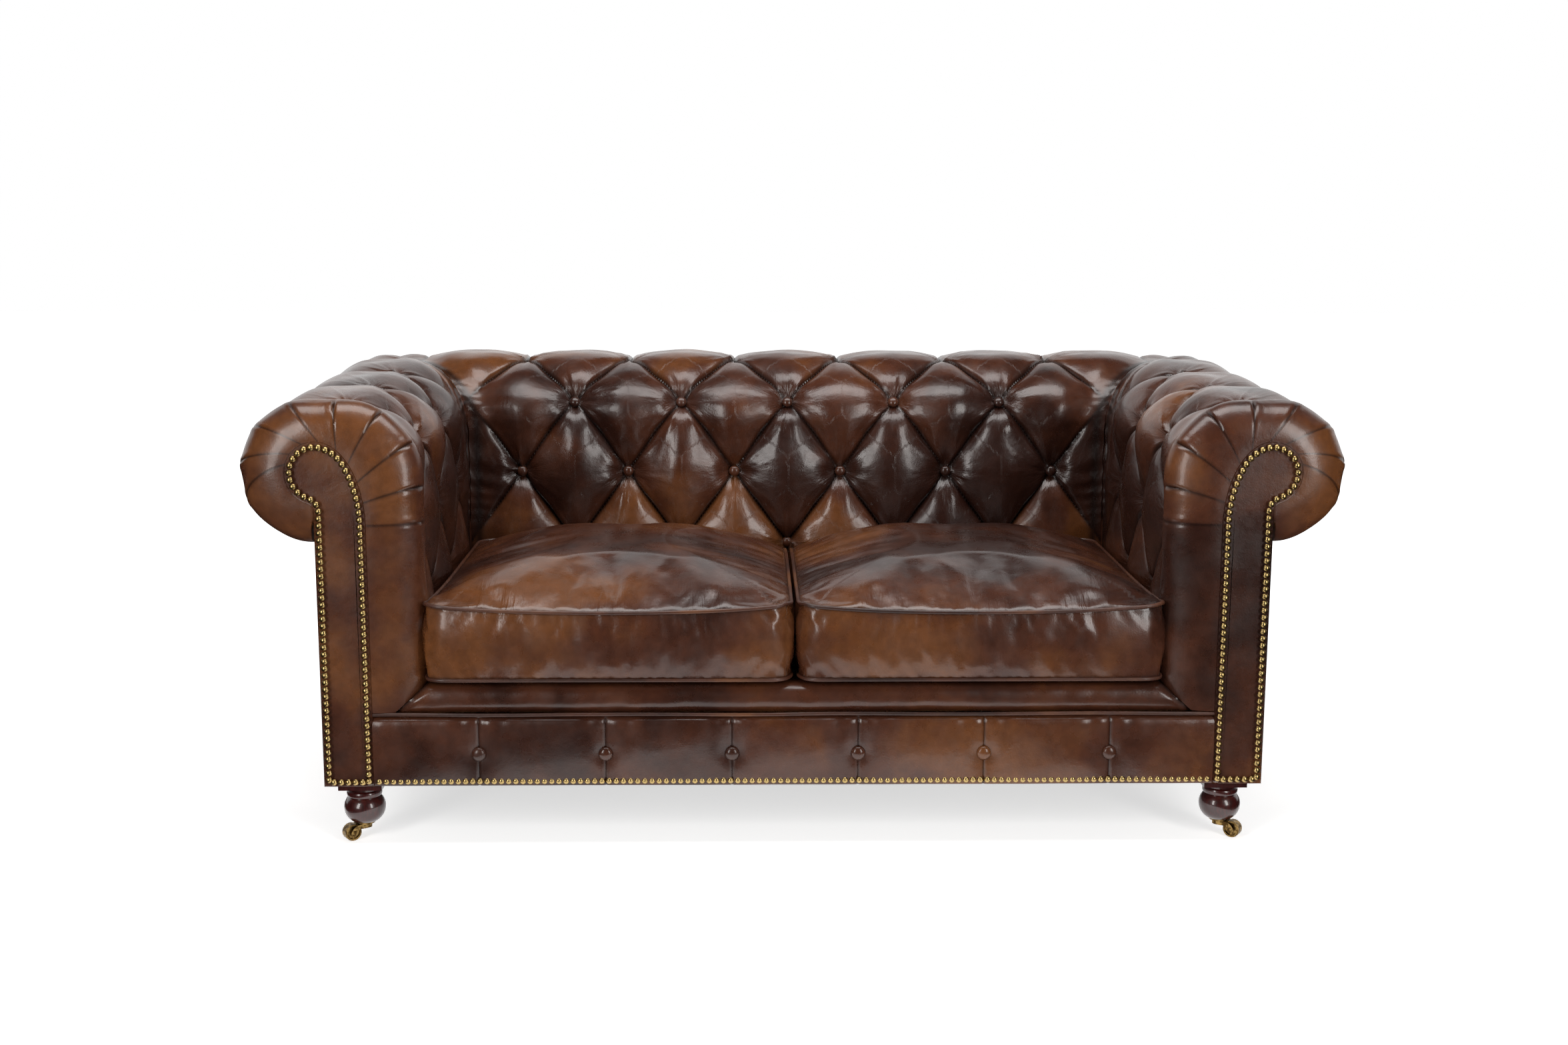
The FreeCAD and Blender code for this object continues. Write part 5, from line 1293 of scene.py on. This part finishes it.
def add(tree, kind, values=(), output=0, **settings):
    """Adds a shader node, sets its properties, fills or links its inputs and gives an output."""
    item = tree.nodes.new("ShaderNode" + kind)
    for name, value in settings.items():
        setattr(item, name, value)
    for socket, value in values.items() if isinstance(values, dict) else enumerate(values):
        if isinstance(value, bpy.types.NodeSocket):
            tree.links.new(value, item.inputs[socket])
        elif value is not None:
            item.inputs[socket].default_value = value
    return item.outputs[output] if item.outputs else None


# Settings of nodes that carry a value smoothly to another range, or mix two colours
SMOOTH = {"interpolation_type": "SMOOTHSTEP"}
BLEND = {"data_type": "RGBA", "output": 2}


def new_material(name):
    """A new material's empty tree and its object coordinates."""
    material = bpy.data.materials.new(name)
    material.use_nodes = True
    material.node_tree.nodes.clear()
    return material.node_tree, add(material.node_tree, "TexCoord", output="Object")


def shade(tree, values):
    """Ends a material's tree in a shader with these inputs."""
    add(tree, "OutputMaterial", (add(tree, "BsdfPrincipled", values),))


def rgba(colour):
    return (*colour, 1.0)


# Feature size in millimetres, detail, roughness and distortion of each layer of the hide:
# dye patches as wide as a hand, cloudy rubbing and specks within them, uneven wax, and
# the soft crumpling under the grain
HIDE_LAYERS = {
    "patches": (330, 2.0, 0.45, 0.4), "clouds": (95, 3.0, 0.5, 0.35), "specks": (16, 3.0, 0.55, 0),
    "wax": (55, 4.0, 0.6, 0), "crumple": (34, 3.0, 0.5, 0.3),
}
# Hide grain is about a millimetre wide, drawn coarser so that it shows
GRAIN_WIDTH = 2.6


def leather_material(name, shift, dull=0.0):
    """Aniline-dyed cow hide, rubbed by hand and waxed: mottled dye, painted shade in its creases,
    seams and button pits, soft gloss.
    """
    tree, coord = new_material(name)
    tone = colours()
    place = add(tree, "Mapping", {"Vector": coord, "Location": shift})
    layers = {}
    for layer, (wide, detail, rough, distortion) in HIDE_LAYERS.items():
        values = {"Vector": place, "Scale": 1000 / wide, "Detail": detail, "Roughness": rough}
        layers[layer] = add(tree, "TexNoise", {**values, "Distortion": distortion})
    wear_and_shade = add(tree, "Attribute", output="Fac", attribute_name="wear_and_shade")
    # How far the dye is rubbed back: random patches and clouds plus each piece's wear, which low
    # inside the arms also carries painted shade
    rubbed = 0.0
    for source, share in ((layers["patches"], 0.68), (layers["clouds"], 0.32), (wear_and_shade, 0.11)):
        rubbed = add(tree, "Math", (source, share, rubbed), operation="MULTIPLY_ADD")
    colour = rgba(tone.leather_dark)
    for low, high, most, dye in (
        (0.36, 0.52, 1, tone.leather_main), (0.49, 0.64, 0.75, tone.leather_cognac)
    ):
        factor = add(tree, "MapRange", (rubbed, low, high, 0, most), **SMOOTH)
        colour = add(tree, "Mix", {0: factor, 6: colour, 7: rgba(dye)}, **BLEND)
    speck = add(tree, "MapRange", (layers["specks"], 0.25, 0.75, 0.86, 1.12), **SMOOTH)
    speck = add(tree, "CombineColor", (speck, speck, speck))
    colour = add(tree, "Mix", {0: 1.0, 6: colour, 7: speck}, blend_type="MULTIPLY", **BLEND)
    # Painted shade: the crease attribute darkens creases, seams and button pits towards the shade
    # colour
    crease = add(tree, "Attribute", output="Fac", attribute_name="crease")
    factor = add(tree, "Math", (crease, 0.85), operation="MULTIPLY")
    colour = add(tree, "Mix", {0: factor, 6: colour, 7: rgba(tone.leather_painted_shade)}, **BLEND)
    values = {"Vector": place, "Scale": 1000 / GRAIN_WIDTH, "Smoothness": 0.6}
    grain = add(tree, "TexVoronoi", values, feature="SMOOTH_F1")
    # Streaks that run out from each button
    pull = add(tree, "Attribute", output="Vector", attribute_name="pull")
    amount = add(tree, "Attribute", output="Fac", attribute_name="pull_amount")
    spread = add(tree, "VectorMath", (pull, (3.2, 3.2, 2.0)), operation="MULTIPLY")
    values = {"Vector": spread, "Scale": 1.6, "Detail": 3.0, "Roughness": 0.6}
    streak = add(tree, "Math", (add(tree, "TexNoise", values), amount), operation="MULTIPLY")
    normal = None
    for height, deep, strength in (
        (grain, 0.25, 0.30), (layers["crumple"], 1.6, 0.45), (streak, 5.0, 0.8)
    ):
        values = {"Height": height, "Distance": deep * MM, "Strength": strength, "Normal": normal}
        normal = add(tree, "Bump", values)
    gloss = (layers["wax"], 0.3, 0.7, 0.24 + dull, 0.37 + dull)
    shade(tree, {
        "Base Color": colour, "Roughness": add(tree, "MapRange", gloss, **SMOOTH), "IOR": 1.48,
        "Coat Weight": 0.2, "Coat Roughness": 0.12, "Normal": normal,
    })


def metal_material(name, light, dark, rough, rim=False):
    """Solid brass or steel, its high places rubbed bright by touch and the rest tarnished. With
    rim, a nail's dome is lighter where it faces the front, as polish and painted highlight, and
    darker round its edge, as tarnish and painted shade.
    """
    tree, coord = new_material(name)
    values = {"Vector": coord, "Scale": 1000 / 7, "Detail": 4.0, "Roughness": 0.6}
    patina = add(tree, "TexNoise", values)
    polish_and_highlight = add(tree, "MapRange", (patina, 0.38, 0.66), **SMOOTH)
    if rim:
        # Painted highlight and shade: lighter where the surface faces the front, darker round the
        # rim
        normal = add(tree, "NewGeometry", output="Normal")
        facing = add(tree, "SeparateXYZ", (normal,), "Y")
        outward = add(tree, "Math", (facing, -1.0), operation="MULTIPLY")
        dome = add(tree, "MapRange", (outward, 0.35, 0.8), **SMOOTH)
        rubbed = add(tree, "MapRange", (patina, 0.2, 0.5, 0.7, 1.0), **SMOOTH)
        polish_and_highlight = add(tree, "Math", (dome, rubbed), operation="MULTIPLY")
    gloss = (patina, 0.3, 0.7, rough + 0.12, rough)
    shade(tree, {
        "Base Color": add(tree, "Mix", {0: polish_and_highlight, 6: rgba(dark), 7: rgba(light)}, **BLEND),
        "Metallic": 1.0, "Roughness": add(tree, "MapRange", gloss, **SMOOTH),
        "Normal": add(tree, "Bump", {"Height": patina, "Distance": 0.3 * MM, "Strength": 0.35}),
    })


def grained_material(name, stretch, grain, spread, shades, rough, relief, coat=None):
    """Wood or a moulding: a grain of a real width, in two shades and a slight relief."""
    tree, coord = new_material(name)
    place = add(tree, "Mapping", {"Vector": coord, "Scale": stretch})
    names = ("Scale", "Detail", "Roughness", "Distortion")
    values = {"Vector": place, **dict(zip(names, (1000 / grain[0], *grain[1:])))}
    grain = add(tree, "TexNoise", values)
    factor = add(tree, "MapRange", (grain, *spread), **SMOOTH)
    dark, light = shades
    distance, strength = relief
    shade(tree, {
        "Base Color": add(tree, "Mix", {0: factor, 6: rgba(dark), 7: rgba(light)}, **BLEND),
        "Roughness": rough, **(coat or {}),
        "Normal": add(tree, "Bump", {
            "Height": grain, "Distance": distance * MM, "Strength": strength
        }),
    })


def woven_material(name, light, dark, thread, rough):
    """Plain-woven cloth: two sets of threads that pass over and under each other."""
    tree, coord = new_material(name)
    # A wave texture of this scale repeats every 0.63 of the thread's pitch
    values = {"Vector": coord, "Scale": 500 / thread, "Distortion": 0.4, "Detail": 1.0}
    waves = [
        add(tree, "TexWave", values, "Fac", wave_type="BANDS", bands_direction=direction)
        for direction in ("X", "Y")
    ]
    weave = add(tree, "Math", waves, operation="MULTIPLY")
    uneven = add(tree, "TexNoise", {"Vector": coord, "Scale": 1000 / 30, "Detail": 3.0})
    factor = add(tree, "MapRange", (weave, 0.1, 0.8), **SMOOTH)
    colour = add(tree, "Mix", {0: factor, 6: rgba(dark), 7: rgba(light)}, **BLEND)
    tone = add(tree, "MapRange", (uneven, 0.3, 0.7, 0.85, 1.1), **SMOOTH)
    tone = add(tree, "CombineColor", (tone, tone, tone))
    shade(tree, {
        "Base Color": add(
            tree, "Mix", {0: 1.0, 6: colour, 7: tone}, blend_type="MULTIPLY", **BLEND
        ),
        "Roughness": rough, "Sheen Weight": 0.2,
        "Normal": add(tree, "Bump", {"Height": weave, "Distance": 0.5 * MM, "Strength": 0.6}),
    })


NODE_FINISHES = {
    "leather": "hand_rubbed_hide", "filling": "cotton_case", "deck_cloth": "platform_cloth",
    "hessian": "jute_hessian", "timber": "sawn_beech", "spring_steel": "oiled_steel",
    "nail_brass": "antiqued_brass", "castor_brass": "aged_brass", "foot_wood": "mahogany_lacquer",
    "glide_nylon": "moulded_nylon",
}


class SOFA_OT_finishes(bpy.types.Operator):
    """Mixes every finish and gives each of the frame's nodes its own"""

    bl_idname = "chesterfield.finishes"
    bl_label = "Finishes"

    def execute(self, context):
        tone = colours()
        leather_material("hand_rubbed_hide", (0.13, 0.4, 0.0))
        leather_material("piping_hide", (0.7, 0.2, 0.3), 0.16)
        metal_material("antiqued_brass", tone.brass, tone.brass_tarnish_and_shade, 0.28, True)
        metal_material("aged_brass", tone.castor, tone.brass_tarnish_and_shade, 0.3)
        metal_material("oiled_steel", linear("#6d6d70"), linear("#3a3a3c"), 0.35)
        # Turned hardwood in gloss lacquer: dark grain lines under a clear, wet coat
        grained_material(
            "mahogany_lacquer", (1, 1, 0.12), (3.2, 6.0, 0.65, 1.0), (0.35, 0.68),
            (tone.mahogany_dark, tone.mahogany), 0.32, (0.15, 0.2),
            {"Coat Weight": 0.8, "Coat Roughness": 0.05},
        )
        # Unfinished beech as sawn for frames: pale, with short flecks along the length
        grained_material(
            "sawn_beech", (0.15, 1, 1), (9, 5.0, 0.6, 0.5), (0.3, 0.7),
            (linear("#a97b4e"), linear("#c99e6d")), 0.7, (0.4, 0.4),
        )
        # Moulded black nylon: a faint mould texture that spreads its highlight
        grained_material(
            "moulded_nylon", (1, 1, 1), (1.2, 2.0, 0.5, 0.0), (0.3, 0.7),
            (linear("#1d1b19"), linear("#292623")), 0.45, (0.1, 0.3),
        )
        woven_material("platform_cloth", linear("#2a2624"), linear("#131110"), 1.6, 0.9)
        woven_material("jute_hessian", linear("#a98a5e"), linear("#5f4828"), 3.0, 0.95)
        woven_material("cotton_case", linear("#ece4d0"), linear("#c9bd9f"), 1.2, 0.9)
        slots = {part["node"]: part["material_slot"] for part in frame["record"]["subparts"]}
        for name, piece in frame["nodes"].items():
            material = bpy.data.materials[NODE_FINISHES[slots[name]]]
            if not piece.material_slots:
                piece.data.materials.append(material)
            for spot in piece.material_slots:
                spot.link = "OBJECT"
                spot.material = material
        return {"FINISHED"}


# Studio


# Each soft box: place, what it faces, width, height, watts and colour. The rear ones light the
# sofa from behind for the outside back, and neither the camera nor reflections see them.
WARM_WHITE = (1, 0.98, 0.96)
SOFT_BOXES = {
    "overhead_box": ((0.0, -0.5, 2.5), (0, -0.1, 0.3), 2.6, 1.0, 50, (1, 0.98, 0.97)),
    "left_box": ((-1.95, -2.75, 1.3), (0, -0.1, 0.7), 0.7, 2.0, 40, WARM_WHITE),
    "right_box": ((1.95, -2.75, 1.3), (0, -0.1, 0.7), 0.7, 2.0, 40, WARM_WHITE),
    "rear_left_box": ((-2.1, 2.6, 1.3), (0, 0.2, 0.4), 0.9, 1.3, 15, (1, 1, 1)),
    "rear_right_box": ((2.1, 2.6, 1.3), (0, 0.2, 0.4), 0.9, 1.3, 15, (1, 1, 1)),
}


def soft_box(name, place, aim, width, height, watts, colour):
    lamp = bpy.data.lights.new(name, "AREA")
    lamp.shape = "RECTANGLE"
    lamp.size = width
    lamp.size_y = height
    lamp.energy = watts
    lamp.color = colour
    item = bpy.data.objects.new(name, lamp)
    bpy.context.scene.collection.objects.link(item)
    item.location = place
    item.rotation_euler = (Vector(aim) - Vector(place)).to_track_quat("-Z", "Y").to_euler()
    if name.startswith("rear"):
        item.visible_camera = False
        item.visible_glossy = False


# The floor's half width, and how much of its white it shows by itself near the sofa
FLOOR_HALF = 14.0
FLOOR_LIFT = 0.62
WORLD_LIGHT = 0.16
# The camera's place in metres, its turns in radians and its lens in millimetres
CAMERA_PLACE = (-0.0784, -3.435, 1.0618)
CAMERA_DOWN = 0.1733
CAMERA_RIGHT = 0.02
CAMERA_ROLL = 0.0027
CAMERA_LENS = 42.655


class SOFA_OT_studio(bpy.types.Operator):
    """Lays the pale floor and sets the soft boxes and the camera"""

    bl_idname = "chesterfield.studio"
    bl_label = "Studio"

    def execute(self, context):
        context.scene.view_settings.view_transform = "Standard"
        bm = bmesh.new()
        bmesh.ops.create_grid(bm, x_segments=2, y_segments=2, size=FLOOR_HALF)
        floor = as_object("studio_floor", bm)
        tree, coord = new_material("painted_floor")
        spread = add(tree, "VectorMath", (coord,), "Value", operation="LENGTH")
        far = add(tree, "MapRange", (spread, 1.0, 2.6, FLOOR_LIFT, 1.0), **SMOOTH)
        lift = add(tree, "Math", (far, seen_rays(tree)), operation="MULTIPLY")
        glow = add(tree, "Emission", {"Color": (1, 1, 1, 1), "Strength": lift})
        paint = add(tree, "BsdfPrincipled", {
            "Base Color": rgba(colours().floor), "Roughness": 0.9, "Specular IOR Level": 0.0
        })
        add(tree, "OutputMaterial", (add(tree, "AddShader", (paint, glow)),))
        floor.data.materials.append(bpy.data.materials["painted_floor"])
        floor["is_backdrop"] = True
        dark_surround()
        world = bpy.data.worlds.new("studio")
        context.scene.world = world
        world.use_nodes = True
        tree = world.node_tree
        tree.nodes.clear()
        ambient, white = (
            add(tree, "Background", {"Color": (1, 1, 1, 1), "Strength": strength})
            for strength in (WORLD_LIGHT, 1.0)
        )
        add(tree, "OutputWorld", (add(tree, "MixShader", (seen_rays(tree), ambient, white)),))
        for name, values in SOFT_BOXES.items():
            soft_box(name, *values)
        place_camera(context.scene)
        return {"FINISHED"}


def place_camera(scene):
    """Sets the camera where the photograph was taken, turned and rolled as it was."""
    camera = bpy.data.cameras.new("camera")
    camera.sensor_fit = "HORIZONTAL"
    camera.sensor_width = 36
    camera.lens = CAMERA_LENS
    camera.clip_start = 0.05
    item = bpy.data.objects.new("camera", camera)
    scene.collection.objects.link(item)
    forward = Vector((
        math.sin(CAMERA_RIGHT) * math.cos(CAMERA_DOWN),
        math.cos(CAMERA_RIGHT) * math.cos(CAMERA_DOWN),
        -math.sin(CAMERA_DOWN),
    ))
    side = Vector((math.cos(CAMERA_RIGHT), -math.sin(CAMERA_RIGHT), 0))
    upward = side.cross(forward)
    across = side * math.cos(CAMERA_ROLL) + upward * math.sin(CAMERA_ROLL)
    upright = upward * math.cos(CAMERA_ROLL) - side * math.sin(CAMERA_ROLL)
    matrix = Matrix((across, upright, -forward)).transposed().to_4x4()
    matrix.translation = CAMERA_PLACE
    item.matrix_world = matrix
    scene.camera = item


# The flag's profile on the floor as reach and height, and over the front as depth and height
FLOOR_FLAG = ((0.95, 0.004), (3.6, 0.004), (6.5, 0.25))
HUNG_FLAG = ((-6.5, 0.2), (-6.5, 4.5), (-4.0, 6.0), (0.0, 6.4), (4.0, 5.2))
SIDE_FLAG = ((-6.5, 0.2), (1.5, 0.2), (-6.5, 6.0), (1.5, 6.0))
FLAG_SIDE = 6.5


def dark_surround():
    """Black cloth on the floor round the set and over it, that only reflections see.

    It stays open behind the set, where the white backdrop gives the leather its sheen."""
    bm = bmesh.new()
    bmesh.ops.spin(
        bm, geom=wire(bm, [(reach, 0, up) for reach, up in FLOOR_FLAG]), cent=(0, 0, 0),
        axis=(0, 0, 1), angle=2 * math.pi, steps=48, use_merge=True,
    )
    bmesh.ops.remove_doubles(bm, verts=bm.verts, dist=1e-5)
    hung = wire(bm, [(-FLAG_SIDE, depth, up) for depth, up in HUNG_FLAG])
    made = bmesh.ops.extrude_edge_only(bm, edges=hung[len(HUNG_FLAG):])
    far = [item for item in made["geom"] if isinstance(item, bmesh.types.BMVert)]
    bmesh.ops.translate(bm, vec=(2 * FLAG_SIDE, 0, 0), verts=far)
    for x in (-FLAG_SIDE, FLAG_SIDE):
        sheet = bmesh.ops.create_grid(bm, x_segments=1, y_segments=1, size=0.5)
        for vert, (depth, up) in zip(sheet["verts"], SIDE_FLAG):
            vert.co = (x, depth, up)
    cloth = as_object("studio_flag", bm)
    tree, _ = new_material("black_studio_cloth")
    black = {"Base Color": rgba(linear("#1c1c1c")), "Roughness": 1.0, "Specular IOR Level": 0.0}
    shade(tree, black)
    cloth.data.materials.append(bpy.data.materials["black_studio_cloth"])
    for rays in ("camera", "diffuse", "shadow", "transmission"):
        setattr(cloth, f"visible_{rays}", False)
    cloth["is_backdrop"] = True


def seen_rays(tree):
    """1 for rays that the camera, a reflection or glass sends out, and 0 for light."""
    seen = 0.0
    for kind in ("Camera", "Glossy", "Transmission"):
        ray = add(tree, "LightPath", output=f"Is {kind} Ray")
        seen = add(tree, "Math", (seen, ray), operation="MAXIMUM")
    return seen


class SOFA_PT_panel(bpy.types.Panel):
    """Sizes, colours and steps of the chesterfield"""

    bl_label = "Chesterfield"
    bl_idname = "SOFA_PT_panel"
    bl_space_type = "VIEW_3D"
    bl_region_type = "UI"
    bl_category = "Chesterfield"

    def draw(self, context):
        for group in (context.scene.chesterfield_sizes, context.scene.chesterfield_colours):
            for name in group.__annotations__:
                self.layout.prop(group, name)
        for step in STEPS:
            self.layout.operator(step.bl_idname)


STEPS = (
    SOFA_OT_studio, SOFA_OT_finishes, SOFA_OT_arms, SOFA_OT_back, SOFA_OT_cushions,
    SOFA_OT_front, SOFA_OT_panels, SOFA_OT_cloths,
)
CLASSES = (ChesterfieldSizes, ChesterfieldColours, *STEPS, SOFA_PT_panel)


def register():
    for item in CLASSES:
        bpy.utils.register_class(item)
    scene = bpy.types.Scene
    scene.chesterfield_sizes = bpy.props.PointerProperty(type=ChesterfieldSizes)
    scene.chesterfield_colours = bpy.props.PointerProperty(type=ChesterfieldColours)


def unregister():
    del bpy.types.Scene.chesterfield_colours
    del bpy.types.Scene.chesterfield_sizes
    for item in reversed(CLASSES):
        bpy.utils.unregister_class(item)


def main():
    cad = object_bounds()
    register()
    for step in STEPS:
        group, name = step.bl_idname.split(".")
        getattr(getattr(bpy.ops, group), name)()
    both = {"cad": cad, "visual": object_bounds()}
    {key: [list(corner) for corner in value] for key, value in both.items()}


if __name__ == "__main__":
    main()
